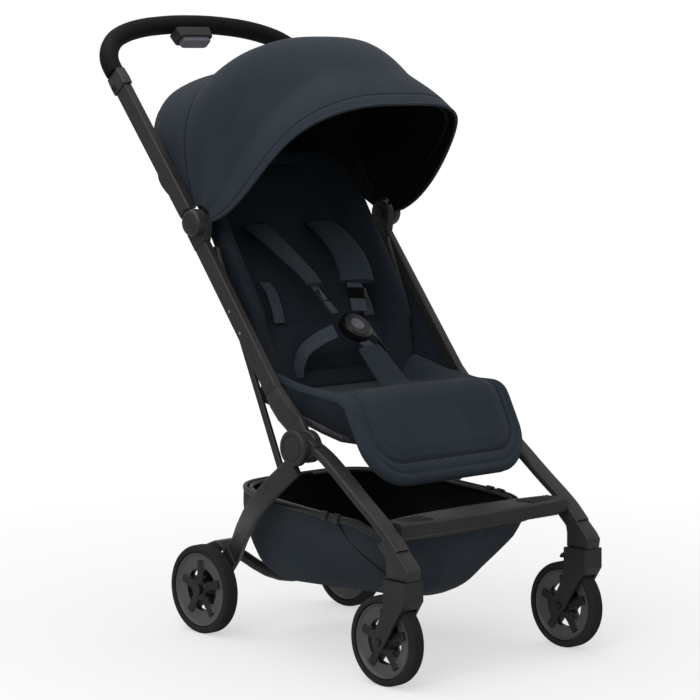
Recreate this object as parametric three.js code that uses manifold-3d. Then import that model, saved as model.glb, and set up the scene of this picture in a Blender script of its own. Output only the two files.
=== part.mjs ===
// Compact folding baby stroller, in millimetres, +Z up.
// -Y is the front (the way it rolls), +Y is the push handle's side, X is across.
// The floor is z = 0. Lengths along Y are first laid out from the front wheel
// hubs, and the whole group is then centred over its own footprint.
import * as THREE from 'three';
import { mergeVertices } from 'three/addons/utils/BufferGeometryUtils.js';
import Module from 'manifold-3d';

const wasm = await Module();
wasm.setup();

// ---------------------------------------------------------------- dimensions
const FRONT_R = 70;            // front tyre radius
const REAR_R = 74;             // rear tyre radius
const TYRE_W = 27;             // tyre width
const TYRE_SIDES = 32;         // a flat lies exactly under each hub
const TRACK_F = 201.7;         // front wheel centre from the middle plane
const TRACK_R = 163.5;         // rear wheel centre from the middle plane
const REAR_Y = 480;            // wheelbase
const H = [436, 687];          // upper (handle) hinge, y z
const J = [188, 347];          // main leg pivot, y z
const B = [246, 282];          // link pivot on the rear leg, y z
const HANDLE_DEG = 50.07;      // handle plane above horizontal
const LINK_LEN = 396.05;       // link pivot spacing
const LINK_DEG = 65.05;        // link direction at rest
const CENTRE_Y = 325.666;       // footprint centre measured from the front hubs
const GAP = 0.3;
const CAST_Y = -36;            // swivel axis

// ---------------------------------------------------------------- materials
const M = {
  frame: ['#3b3939', 0.42, 0.75], plastic: ['#353334', 0.6, 0.0], cap: ['#454344', 0.5, 0.1],
  foam: ['#1d1d1d', 0.95, 0.0], button: ['#6c6b70', 0.45, 0.2], tyre: ['#272626', 0.9, 0.0],
  rim: ['#555456', 0.5, 0.1], fabric: ['#263038', 0.9, 0.0], pad: ['#222c35', 0.92, 0.0],
  strap: ['#1d252d', 0.85, 0.0], gloss: ['#1b1918', 0.25, 0.0], steel: ['#8a8a8c', 0.35, 0.9],
  bow: ['#202022', 0.6, 0.0],
};
const group = new THREE.Group();
function add(name, geo, mat) {
  const [c, rough, metal] = M[mat];
  const m = new THREE.Mesh(geo, new THREE.MeshStandardMaterial({ color: c, roughness: rough, metalness: metal }));
  m.name = name;
  group.add(m);
  return m;
}

// ------------------------------------------------------------------- helpers
function volume(pos, idx) {
  let v = 0;
  for (let i = 0; i < idx.length; i += 3) {
    const [a, b, c] = [idx[i] * 3, idx[i + 1] * 3, idx[i + 2] * 3];
    v += pos[a] * (pos[b + 1] * pos[c + 2] - pos[b + 2] * pos[c + 1])
      + pos[a + 1] * (pos[b + 2] * pos[c] - pos[b] * pos[c + 2])
      + pos[a + 2] * (pos[b] * pos[c + 1] - pos[b + 1] * pos[c]);
  }
  return v / 6;
}
function solidOf(pos, idx) {
  if (volume(pos, idx) < 0) for (let i = 0; i < idx.length; i += 3) [idx[i + 1], idx[i + 2]] = [idx[i + 2], idx[i + 1]];
  const g = new THREE.BufferGeometry();
  g.setAttribute('position', new THREE.Float32BufferAttribute(pos, 3));
  g.setIndex(idx);
  return g;
}
// rings of equal length joined along their order, with fan caps
function loft(rings) {
  const n = rings[0].length, pos = [], idx = [];
  rings.forEach((r) => r.forEach((p) => pos.push(...p)));
  for (let i = 0; i + 1 < rings.length; i++) for (let k = 0; k < n; k++) {
    const a = i * n + k, b = i * n + (k + 1) % n;
    idx.push(a, b, a + n, b, b + n, a + n);
  }
  for (const [row, flip] of [[0, true], [rings.length - 1, false]]) {
    const r = rings[row], c = [0, 1, 2].map((j) => r.reduce((s, p) => s + p[j], 0) / n), q = pos.length / 3;
    pos.push(...c);
    for (let k = 0; k < n; k++) {
      const a = row * n + k, b = row * n + (k + 1) % n;
      if (flip) idx.push(q, b, a); else idx.push(q, a, b);
    }
  }
  return solidOf(pos, idx);
}
// two open sheets with the same grid, joined round their border
function shell(outer, inner) {
  const R = outer.length, C = outer[0].length, pos = [], idx = [];
  outer.forEach((r) => r.forEach((p) => pos.push(...p)));
  inner.forEach((r) => r.forEach((p) => pos.push(...p)));
  const o = (i, k) => i * C + k, q = (i, k) => R * C + i * C + k;
  for (let i = 0; i + 1 < R; i++) for (let k = 0; k + 1 < C; k++) {
    idx.push(o(i, k), o(i, k + 1), o(i + 1, k), o(i, k + 1), o(i + 1, k + 1), o(i + 1, k));
    idx.push(q(i, k), q(i + 1, k), q(i, k + 1), q(i, k + 1), q(i + 1, k), q(i + 1, k + 1));
  }
  const wall = (a, b, c, d) => idx.push(a, c, b, b, c, d);
  for (let k = 0; k + 1 < C; k++) {
    wall(o(0, k), o(0, k + 1), q(0, k), q(0, k + 1));
    wall(o(R - 1, k + 1), o(R - 1, k), q(R - 1, k + 1), q(R - 1, k));
  }
  for (let i = 0; i + 1 < R; i++) {
    wall(o(i + 1, 0), o(i, 0), q(i + 1, 0), q(i, 0));
    wall(o(i, C - 1), o(i + 1, C - 1), q(i, C - 1), q(i + 1, C - 1));
  }
  return solidOf(pos, idx);
}
// a cup: outer rings from rim to floor, inner rings likewise
function cup(outer, inner) {
  const n = outer[0].length, pos = [], idx = [];
  const all = [...outer, ...inner.slice().reverse()];
  const mid = outer.length;
  all.forEach((r) => r.forEach((p) => pos.push(...p)));
  for (let i = 0; i < all.length; i++) {
    const j = (i + 1) % all.length;
    if (i === mid - 1) continue;
    for (let k = 0; k < n; k++) {
      const a = i * n + k, b = i * n + (k + 1) % n, c = j * n + k, d = j * n + (k + 1) % n;
      idx.push(a, b, c, b, d, c);
    }
  }
  for (const [row, flip] of [[mid - 1, false], [mid, true]]) {
    const c = [0, 1, 2].map((j) => all[row].reduce((s, p) => s + p[j], 0) / n), q = pos.length / 3;
    pos.push(...c);
    for (let k = 0; k < n; k++) {
      const a = row * n + k, b = row * n + (k + 1) % n;
      if (flip) idx.push(q, b, a); else idx.push(q, a, b);
    }
  }
  return solidOf(pos, idx);
}
// superellipse ring about c in the plane of unit vectors u, v
function ring(c, u, v, a, b, e = 2, n = 16) {
  const out = [];
  for (let k = 0; k < n; k++) {
    const t = (2 * Math.PI * (k + 0.5)) / n, ct = Math.cos(t), st = Math.sin(t);
    const p = Math.sign(ct) * Math.abs(ct) ** (2 / e) * a, q = Math.sign(st) * Math.abs(st) ** (2 / e) * b;
    out.push([0, 1, 2].map((j) => c[j] + u[j] * p + v[j] * q));
  }
  return out;
}
const V = (a) => new THREE.Vector3(...a);
// tube along points; half sizes a (towards the side vector) and b
function sweep(pts, side, a, b, e = 2, n = 16) {
  const rings = pts.map((p, i) => {
    const t = V(pts[Math.min(i + 1, pts.length - 1)]).sub(V(pts[Math.max(i - 1, 0)])).normalize();
    const s0 = V(typeof side === 'function' ? side(i) : side);
    const v = new THREE.Vector3().crossVectors(t, s0).normalize();
    const u = new THREE.Vector3().crossVectors(v, t).normalize();
    const A = typeof a === 'function' ? a(i) : a, Bv = typeof b === 'function' ? b(i) : b;
    return ring(p, u.toArray(), v.toArray(), A, Bv, e, n);
  });
  return loft(rings);
}
// outline in (y, z), extruded across X from x0 to x1, with a small edge round
function prism(pts, x0, x1, bevel = 0, holes = []) {
  const s = new THREE.Shape(pts.map((p) => new THREE.Vector2(p[0], p[1])));
  for (const [y, z, r, n = 16] of holes) {
    const h = new THREE.Path();
    for (let k = 0; k < n; k++) {
      const t = (-2 * Math.PI * k) / n;
      if (k) h.lineTo(y + r * Math.cos(t), z + r * Math.sin(t)); else h.moveTo(y + r * Math.cos(t), z + r * Math.sin(t));
    }
    h.closePath();
    s.holes.push(h);
  }
  const lo = Math.min(x0, x1), hi = Math.max(x0, x1);
  const g = new THREE.ExtrudeGeometry(s, { depth: hi - lo - 2 * bevel, steps: 1, curveSegments: 8,
    bevelEnabled: bevel > 0, bevelThickness: bevel, bevelSize: bevel, bevelOffset: -bevel, bevelSegments: 1 });
  g.translate(0, 0, lo + bevel);
  const p = g.attributes.position;
  for (let i = 0; i < p.count; i++) { const [y, z, x] = [p.getX(i), p.getY(i), p.getZ(i)]; p.setXYZ(i, x, y, z); }
  return weld(g);
}
function weld(g) {
  const c = g.clone();
  for (const k of Object.keys(c.attributes)) if (k !== 'position') c.deleteAttribute(k);
  const m = mergeVertices(c, 1e-3);
  const pos = Array.from(m.attributes.position.array), idx0 = Array.from(m.index.array), idx = [];
  for (let i = 0; i < idx0.length; i += 3) {
    const [a, b, d] = idx0.slice(i, i + 3);
    if (a !== b && b !== d && a !== d) idx.push(a, b, d);
  }
  return solidOf(pos, idx);
}
// solid of revolution about an axis along X through (y, z); profile is [r, x]
function turn(profile, y, z, n = 24, phase = 0) {
  const g = new THREE.LatheGeometry(profile.map(([r, x]) => new THREE.Vector2(Math.max(r, 0), x)), n, phase);
  const p = g.attributes.position;
  for (let i = 0; i < p.count; i++) { const [a, b, c] = [p.getX(i), p.getY(i), p.getZ(i)]; p.setXYZ(i, b, a + y, c + z); }
  return weld(g);
}
function arc(cy, cz, r, a0, a1, n) {
  const out = [];
  for (let k = 0; k <= n; k++) { const t = THREE.MathUtils.degToRad(a0 + ((a1 - a0) * k) / n); out.push([cy + r * Math.cos(t), cz + r * Math.sin(t)]); }
  return out;
}
function man(g) {
  const w = weld(g);
  return new wasm.Manifold(new wasm.Mesh({ numProp: 3,
    vertProperties: new Float32Array(w.attributes.position.array), triVerts: new Uint32Array(w.index.array) }));
}
function unman(m) {
  const q = m.getMesh(), pos = [];
  for (let i = 0; i < q.vertProperties.length; i += q.numProp) pos.push(q.vertProperties[i], q.vertProperties[i + 1], q.vertProperties[i + 2]);
  return weld(solidOf(pos, Array.from(q.triVerts)));
}
const join = (first, ...rest) => rest.reduce((m, g) => m.add(man(g)), man(first));
const cutOut = (m, ...gs) => gs.reduce((r, g) => r.subtract(man(g)), m);
function flip(g) {
  const c = g.clone();
  c.scale(-1, 1, 1);
  return weld(c);
}
function both(name, geo, mat) { add(`${name}_right`, geo, mat); add(`${name}_left`, flip(geo), mat); }
const rad = (d) => (d * Math.PI) / 180;
// point at radius r and angle deg about (y, z), as [y, z]
const pol = (c, r, deg) => [c[0] + r * Math.cos(rad(deg)), c[1] + r * Math.sin(rad(deg))];
const rodX = (y, z, r, x0, x1, n = 16) => turn([[0, x0], [r, x0], [r, x1], [0, x1]], y, z, n);
const rodZ = (x, y, r, z0, z1, n = 16) => loft([z0, z1].map((z) => ring([x, y, z], [1, 0, 0], [0, 1, 0], r, r, 2, n)));
// All one-sided pieces are made at +X; "right" is +X and "left" is its mirror at -X.

// ------------------------------------------------------------ seat frame: root
const LT = [0.618, 0.786];                       // lower tube direction, y z
const LN = [-0.786, 0.618];                      // its normal, towards the front
const lt = (z) => [193.4 + (z - 347) * 0.787, z];
{
  const a = lt(428), b = lt(648);
  both('lower_tube', sweep([[202.75, ...a], [202.75, ...b]], [1, 0, 0], 7.75, 15, 6, 20), 'frame');
  // inner half of the upper hinge, with the arm that carries it from the tube
  const c = lt(648.4), e1 = [c[0] + LN[0] * 15, c[1] + LN[1] * 15], e2 = [c[0] - LN[0] * 15, c[1] - LN[1] * 15];
  const out = [e2, [e2[0] + 20, e2[1] + 25.4], ...arc(H[0], H[1], 21.5, -8, 190, 10), e1];
  both('hinge_inner', prism(out, 195.2, 210.3, 1, [[H[0], H[1], 5.3]]), 'plastic');
  both('upper_pivot', turn([[0, 193.5], [9, 193.5], [9, 194.8], [5, 194.8], [5, 222.5], [0, 222.5]], H[0], H[1], 16), 'steel');
  // moulded knee that carries the main pivot
  const k = [[202.75, ...lt(427.6)], [202.6, ...lt(414)], [199.2, ...lt(396)], [191.4, ...lt(378)], [191.4, ...lt(352)]];
  const kn = join(sweep(k, [1, 0, 0], (i) => [8.4, 9.2, 9, 7.3, 7.3][i], (i) => [16, 18.5, 19.5, 20, 17][i], 4, 16),
    turn([[0, 184.3], [24, 184.3], [26, 186.3], [26, 196.8], [24, 198.8], [0, 198.8]], J[0], J[1], 20));
  both('knee_cover', unman(cutOut(kn, rodX(J[0], J[1], 6.3, 180, 203))), 'cap');
  both('main_pivot', turn([[0, 179.5], [10, 179.5], [10, 183.9], [6, 183.9], [6, 223], [0, 223]], J[0], J[1], 16), 'steel');
}

// ------------------------------------------------------------- handle
{
  const d = [Math.cos(rad(HANDLE_DEG)), Math.sin(rad(HANDLE_DEG))], n = [-d[1], d[0]];
  const at = (r, o) => [H[0] + d[0] * r + n[0] * o, H[1] + d[1] * r + n[1] * o];
  const tube = [at(276.6, 15), at(27.2, 15), ...arc(H[0], H[1], 22.7, HANDLE_DEG + 38, HANDLE_DEG - 38, 8), at(27.2, -15), at(276.6, -15)];
  both('upper_tube', prism(tube, 211, 226.6, 2), 'frame');
  both('hinge_outer', turn([[0, 227.2], [17, 227.2], [19.5, 226.2], [22.2, 223], [22.2, 211], [5.4, 211], [5.4, 223], [0, 223]], H[0], H[1], 20), 'cap');
  const col = [at(277, -18), at(277, 18), at(290, 18.6), at(310, 17), at(310, -17), at(290, -18.6)];
  both('collar', prism(col, 208.4, 229, 3), 'cap');
  const path = [[219, 311.3], [219.6, 322], [217.5, 338], [210, 355], [196, 372.5], [176, 388], [146, 401], [110, 410.3], [74, 415.4], [37, 418.6]];
  const all = [...path, [0, 419.4], ...path.slice().reverse().map(([x, r]) => [-x, r])];
  const pts = all.map(([x, r]) => { const p = at(r, 0); return [x, p[0], p[1]]; });
  add('handle_grip', sweep(pts, [0, n[0], n[1]], 15.7, 15.7, 2.2, 12), 'foam');
  // release housing under the middle of the grip, and its trigger
  const boxAt = (r0, r1, w0, w1, t, e) => loft([[r0, w0], [r1, w1]].map(([r, w]) => { const p = at(r, 0); return ring([-12, p[0], p[1]], [1, 0, 0], [0, n[0], n[1]], w, t, e, 20); }));
  const trig = boxAt(391, 374.5, 31.4, 28, 10.5, 7);
  const house = cutOut(man(boxAt(401.8, 383, 38.5, 35, 14.5, 7)), boxAt(398, 366, 32, 32, 11, 7));
  add('fold_housing', unman(house), 'plastic');
  add('fold_trigger', trig, 'button');
}

// ------------------------------------------------------------- links
{
  const a = rad(LINK_DEG), u = [Math.cos(a), Math.sin(a)], n = [-u[1], u[0]], A = [B[0] + u[0] * LINK_LEN, B[1] + u[1] * LINK_LEN];
  const out = [...arc(B[0], B[1], 8, LINK_DEG + 110, LINK_DEG + 250, 6),
    [B[0] + u[0] * 8 - n[0] * 6, B[1] + u[1] * 8 - n[1] * 6], [A[0] - u[0] * 8 - n[0] * 6, A[1] - u[1] * 8 - n[1] * 6],
    ...arc(A[0], A[1], 8, LINK_DEG - 70, LINK_DEG + 70, 6),
    [A[0] - u[0] * 8 + n[0] * 6, A[1] - u[1] * 8 + n[1] * 6], [B[0] + u[0] * 8 + n[0] * 6, B[1] + u[1] * 8 + n[1] * 6]];
  both('link_bar', prism(out, 186.3, 192.9, 1, [[B[0], B[1], 4.6, 12]]), 'frame');
}

// ------------------------------------------------------------- front legs
{
  const c = new THREE.CatmullRomCurve3([[158, 346.5], [123, 327], [57.4, 279], [0, 238], [-31, 209]].map((p) => new THREE.Vector3(200.5, p[0], p[1])));
  const leg = sweep(c.getPoints(6).map((p) => p.toArray()), [1, 0, 0], 15, 6.8, 5, 12);
  const hub = turn([[0, 199.6], [24, 199.6], [24, 213.3], [22.5, 215.3], [0, 215.3]], J[0], J[1], 20);
  const web = prism([[188, 370.5], [166, 363], [150, 354], [152, 338], [176, 326], [188, 323.5]], 199.6, 215.3);
  const foot = prism([[-57.5, 168.6], [-60, 184], [-52, 194], [-12, 231], [8, 218], [-10, 202], [-12.5, 190], [-12.5, 168.6]], 185.5, 215.5, 1.5);
  const m = cutOut(join(leg, hub, web, foot), rodX(J[0], J[1], 6.4, 195, 220), rodZ(TRACK_F - 1.2, CAST_Y, 6.4, 160, 186.5));
  both('front_leg', unman(m), 'frame');
  const sec = (x, y0, y1, z0, z1) => [[x, y0, z0 + 5], [x, y0 + 1.5, z1 - 3], [x, y0 + 7, z1], [x, y1 - 4, z1], [x, y1, z1 - 3], [x, y1 - 2, z1 - 8], [x, y0 + 16, z0 + 1], [x, y0 + 6, z0]];
  const S = [[184.3, -16, 14, 222, 249], [160, -17, 34, 221.5, 248], [120, -17, 45, 221.5, 247], [60, -17, 51, 221.5, 246.5], [0, -17, 53, 221.5, 246.5]];
  add('footrest_bar', loft([...S.map(([x, ...r]) => sec(-x, ...r)), ...S.slice(0, -1).reverse().map(([x, ...r]) => sec(x, ...r))]), 'plastic');
}

// ------------------------------------------------------------- casters
{
  const X = TRACK_F - 1.2, arm = [[-57, 168], [-57.5, 136], [-51, 126], [-12.4, 64.5], ...arc(0, FRONT_R, 13, 206, 378, 8), [-9.5, 118], [-12, 141], [-12, 168]];
  const top = [[-57, 168], [-57.5, 136], [-50.5, 124.2], ...arc(0, FRONT_R, 73.5, 133, 101, 4), [-12, 168]];
  const fork = join(prism(arm, X + 15.4, X + 20.6), prism(arm, X - 20.6, X - 15.4), prism(top, X - 15.6, X + 15.6),
    rodZ(X, CAST_Y, 6, 167, 185));
  const fork2 = cutOut(fork, rodX(0, FRONT_R, 4.3, X - 30, X + 30));
  both('caster_fork', unman(fork2), 'plastic');
  both('front_axle', turn([[0, X - 23.4], [7, X - 23.4], [7, X - 20.9], [4, X - 20.9], [4, X + 20.9], [7, X + 20.9], [7, X + 23.4], [0, X + 23.4]], 0, FRONT_R, 16), 'steel');
  both('swivel_lock', prism([[-11.3, 147.5], [-11.3, 158], [-4, 158.5], [5, 154], [9, 148.5], [7, 146.6]], X - 9, X + 9, 1.2), 'plastic');
}

// ------------------------------------------------------------- wheels
function wheel(name, X, y, R, rimR, boreR) {
  const k = 1 / Math.cos(Math.PI / TYRE_SIDES), w = TYRE_W / 2, i = rimR + 0.4;
  const prof = [[i, -w + 2], [i + 2.4, -w], [R - 3, -w], [R, -w + 5], [R, w - 5], [R - 3, w], [i + 2.4, w], [i, w - 2], [i, -w + 2]];
  both(`${name}_tyre`, turn(prof.map(([r, x]) => [r * k, X + x]), y, R, TYRE_SIDES, Math.PI / TYRE_SIDES), 'tyre');
  // five-armed rim: a dished ring joined to the hub by five arms
  const s = [];
  for (let a = 0; a < TYRE_SIDES; a++) s.push(pol([y, R], rimR, (a * 360) / TYRE_SIDES));
  const holes = [];
  for (let a = 0; a < 5; a++) {
    const m = 90 + 36 + a * 72;
    holes.push([pol([y, R], 21, m), pol([y, R], rimR * 0.66, m - 23), pol([y, R], rimR * 0.73, m - 12), pol([y, R], rimR * 0.74, m), pol([y, R], rimR * 0.73, m + 12), pol([y, R], rimR * 0.66, m + 23)]);
  }
  const shape = new THREE.Shape(s.map((p) => new THREE.Vector2(...p)));
  for (const h of [...holes, arc(y, R, boreR, 0, 330, 11)]) shape.holes.push(new THREE.Path(h.map((p) => new THREE.Vector2(...p))));
  const g = new THREE.ExtrudeGeometry(shape, { depth: 19.6, bevelEnabled: false, steps: 1 });
  g.translate(0, 0, X - 9.8);
  const p = g.attributes.position;
  for (let q = 0; q < p.count; q++) { const [a, b, c] = [p.getX(q), p.getY(q), p.getZ(q)]; p.setXYZ(q, c, a, b); }
  const hub = cutOut(man(rodX(y, R, 17, X - 12.6, X + 12.6, 16)), rodX(y, R, boreR, X - 20, X + 20, 12));
  both(`${name}_rim`, unman(hub.add(man(g))), 'rim');
}
wheel('front', TRACK_F - 1.2, 0, FRONT_R, 59, 4.5);
wheel('rear', TRACK_R, REAR_Y, REAR_R, 62.6, 5.5);

// ------------------------------------------------------------- rear legs
{
  const c0 = [197, 311.5], d = [0.8, -0.6], n = [0.6, 0.8];
  const at = (s, o = 0) => [c0[0] + d[0] * s + n[0] * o, c0[1] + d[1] * s + n[1] * o];
  const st = [[-14, 221.6], [40, 221.6], [88, 221.6], [108, 219], [130, 212.5], [260, 152.5], [276, 145.5], [290, 142.2]];
  const bar = loft(st.map(([s, x]) => ring([x, ...at(s)], [1, 0, 0], [0, ...n], 5.4, 17, 6, 12)));
  const hub = turn([[0, 228.4], [24, 228.4], [27.5, 227.4], [29, 224.5], [29, 216.2], [0, 216.2]], J[0], J[1], 24);
  const m = cutOut(join(bar, hub, rodX(B[0], B[1], 9.5, 216.2, 226, 16), rodX(B[0], B[1], 4, 186, 218, 16)), rodX(J[0], J[1], 6.4, 210, 223.6));
  both('rear_leg', unman(m), 'frame');
  // axle carrier between the leg's foot and the hub, with its stub axle
  const f = (s, o) => at(s, o), hubC = [REAR_Y, REAR_R];
  const car = prism([f(290.4, -16.5), ...arc(...hubC, 17, 195, 395, 10), f(296, 17), f(290.4, 16.5)], 136.6, 148.6, 1.2);
  both('axle_carrier', unman(join(car, rodX(...hubC, 5, 147, 180.5, 16), rodX(...hubC, 9, 177.2, 181.6, 16))), 'plastic');
  const cp = [[139, 426.5, 141], [122, 424, 130], [100, 422, 115], [76, 420, 101], [50, 419, 91], [25, 418, 86]];
  const pts = [...cp.map(([x, y, z]) => [-x, y, z]), [0, 418, 84.5], ...cp.slice().reverse()];
  add('rear_cross_tube', unman(man(sweep(pts, [0, 1, 0], 9.5, 9.5, 2, 12)).intersect(man(prism([[380, 40], [460, 40], [460, 180], [380, 180]], -136.2, 136.2)))), 'frame');
  add('brake_pedal', prism([[452, 145], [463, 154], [478, 153], [514, 138.5], [512, 131], [478, 141], [462, 136.5]], -146, -96, 2), 'plastic');
}

// ------------------------------------------------------------- canopy
const canR = (psi, tab) => { let i = 0; while (i + 2 < tab.length && psi > tab[i + 1][0]) i++; const [a, b] = [tab[i], tab[i + 1]]; return a[1] + ((b[1] - a[1]) * (psi - a[0])) / (b[0] - a[0]); };
const MAIN = [[78.6, 256], [85, 272], [92, 289], [100, 306], [112, 317], [128, 315], [144, 326]];
const REAR = [[27, 205], [34, 240], [40, 264], [46, 278], [52, 280], [62, 271], [70, 261], [78, 251]];
const canN = (psi) => (psi < 92 ? 3.4 : psi < 112 ? 3.4 - (psi - 92) * 0.046 : psi < 126 ? 2.48 : 2.48 + (psi - 126) * 0.046);
// the seam leans back and the front rim leans forward near the hinge
const fwd = (r) => (r > 280 ? 0 : ((280 - r) / 255) ** 2.1 * 31);
const lean = (psi, r) => (psi < 78.3 ? -(1 - r / 262) * 15 * Math.max(0, (psi - 52) / 26) : -(1 - r / 262) * 15 * Math.max(0, (100 - psi) / 21.4)) + fwd(r) * Math.max(0, (psi - 110) / 34);
function canopySheet(tab, w, thick, p0, p1, steps, cols = 17) {
  const rows = (off) => {
    const out = [];
    for (let i = 0; i <= steps; i++) {
      const psi = p0 + ((p1 - p0) * i) / steps, R0 = canR(psi, tab) - off, W = w - off, row = [];
      for (let k = 0; k < cols; k++) {
        const t = Math.PI * (k / (cols - 1)), ct = Math.cos(t), st = Math.sin(t);
        const e = 2 / canN(psi), x = Math.sign(ct) * Math.abs(ct) ** e * W;
        const r = Math.max(Math.abs(st) ** e * R0, 25);
        row.push([x, ...pol(H, r, psi + lean(psi, r))]);
      }
      out.push(row);
    }
    return out;
  };
  return shell(rows(0), rows(thick));
}
add('canopy_main', canopySheet(MAIN, 206.5, 3, 78.6, 144, 7), 'fabric');
add('canopy_rear', canopySheet(REAR, 206.5, 3, 27, 78, 8), 'fabric');
{
  const pts = [];
  for (let k = 1; k < 18; k++) {
    const t = Math.PI * (k / 18), ct = Math.cos(t), st = Math.sin(t);
    const e = 2 / canN(141.5), x = Math.sign(ct) * Math.abs(ct) ** e * 197, r = Math.max(Math.abs(st) ** e * 314, 26);
    pts.push([x, ...pol(H, r, 141.5)]);
  }
  const n = [0, Math.cos(rad(231.5)), Math.sin(rad(231.5))];
  add('canopy_bow', sweep([[197, ...pol(H, 26, 141.5)], ...pts, [-197, ...pol(H, 26, 141.5)]], n, 3.6, 3.6, 2, 8), 'bow');
}

// ------------------------------------------------------------- seat
const BK = [0.5299, 0.848];                     // backrest direction, y z
const BB = [0.848, -0.5299];                    // its normal, backwards
const bk = (s, o) => [321 + BK[0] * s + BB[0] * o, 431 + BK[1] * s + BB[1] * o];
{
  const m = join(prism([[130, 399], [121.5, 412], [126, 417.5], [190, 421], [270, 416], [314, 413], [328, 409], [323, 394], [300, 394], [200, 397]], -158, 158, 2.4),
    ...[-1, 1].map((s) => prism([[150, 399], [150, 417], [196, 430], [250, 464], [288, 484], [312, 478], [322, 396], [200, 398]], s * 147, s * 176, 3)));
  add('seat_pad', unman(m), 'pad');
  // calf pad: an apron with round lower corners
  const prof = [], hw = 174, top = 0, bot = 123, rr = 76;
  for (let k = 0; k <= 6; k++) prof.push([hw - rr + rr * Math.cos(rad(-90 + 15 * k)), -(bot - rr) + rr * Math.sin(rad(-90 + 15 * k))]);
  const sh = new THREE.Shape([...prof, [hw - 6, -top], [-(hw - 6), -top], ...prof.map(([x, y]) => [-x, y]).reverse()].map((p) => new THREE.Vector2(...p)));
  const g = new THREE.ExtrudeGeometry(sh, { depth: 10, bevelEnabled: true, bevelThickness: 3, bevelSize: 3, bevelOffset: -3, bevelSegments: 1, steps: 1 });
  g.translate(0, 0, 3);
  const q = g.attributes.position, a = rad(28);
  for (let i = 0; i < q.count; i++) {
    const [x, v, w] = [q.getX(i), q.getY(i), q.getZ(i)];       // v runs down the pad, w through it
    q.setXYZ(i, x, 111.5 + v * Math.sin(a) + w * Math.cos(a), 401 + v * Math.cos(a) - w * Math.sin(a));
  }
  add('calf_pad', weld(g), 'pad');
  // seat support: a hoop from knee to knee, under the seat's front
  const e = [[184.4, 236, 388], [178, 234, 387], [169, 224, 384], [167, 180, 372], [160, 145, 362], [142, 131, 358]];
  add('seat_hoop', sweep([...e, [0, 130, 357], ...e.slice().reverse().map(([x, y, z]) => [-x, y, z])], [0, 0, 1], 7.5, 7.5, 2, 10), 'frame');
  // backrest with its side wings
  const b = join(prism([bk(4, 0), bk(424, 0), bk(430, 6), bk(424, 22), bk(4, 22), bk(0, 11)], -151, 151, 2.4),
    ...[-1, 1].map((s) => prism([bk(60, 10), bk(60, -16), bk(110, -46), bk(300, -44), bk(380, -22), bk(410, 0), bk(410, 16)], s * 149, s * 175, 3)));
  add('backrest', unman(b), 'pad');
}

// ------------------------------------------------------------- harness
{
  const ax = [0, -0.643, 0.766], up = [0, 0.766, 0.643], c = [-10, 276, 515];
  const at3 = (o, s = 0, x = c[0]) => [x, c[1] + ax[1] * o + up[1] * s, c[2] + ax[2] * o + up[2] * s];
  const disc = (o0, o1, r0, r1) => loft([[o0, r0], [o1, r1]].map(([o, r]) => ring(at3(o), [1, 0, 0], up, r, r, 2, 20)));
  const well = disc(1.6, 20, 13.4, 13.4);
  add('buckle', unman(cutOut(join(disc(-8, 5.5, 28, 28), disc(5.4, 8.5, 28, 24)), well)), 'gloss');
  add('buckle_button', disc(5.4, 9.6, 12.9, 12.4), 'button');
  // straps: flat bands that end just short of the buckle and of what holds them
  const band = (pts, wide, w, t) => sweep(pts, wide, w, t, 8, 12);
  const fromSlot = (k) => band([[k * 70, ...bk(276, -6)], [k * 68, ...bk(238, -16)], [k * 58 - 2, 372, 604], [k * 34 - 5, 318, 559]], (i) => (i < 2 ? [1, 0, 0] : [0.93, -0.25 * k, 0.3 * k]), 19, 2.2);
  add('shoulder_strap_right', fromSlot(1), 'strap');
  add('shoulder_strap_left', fromSlot(-1), 'strap');
  const fromHip = (k) => band([[k * 128, 316, 446], [k * 100, 305, 470], [k * 66 - 5, 294, 495], [k * 33 - 9.5, 286, 512]], [0, 0.6, 0.8], 12, 1.4);
  add('waist_strap_right', fromHip(1), 'strap');
  add('waist_strap_left', fromHip(-1), 'strap');
  add('crotch_strap', band([[-2, 198, 427], [-3, 214, 446], [-6, 238, 472], [-9, 252, 486]], [1, 0, 0], 20, 3.5), 'strap');
}

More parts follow.
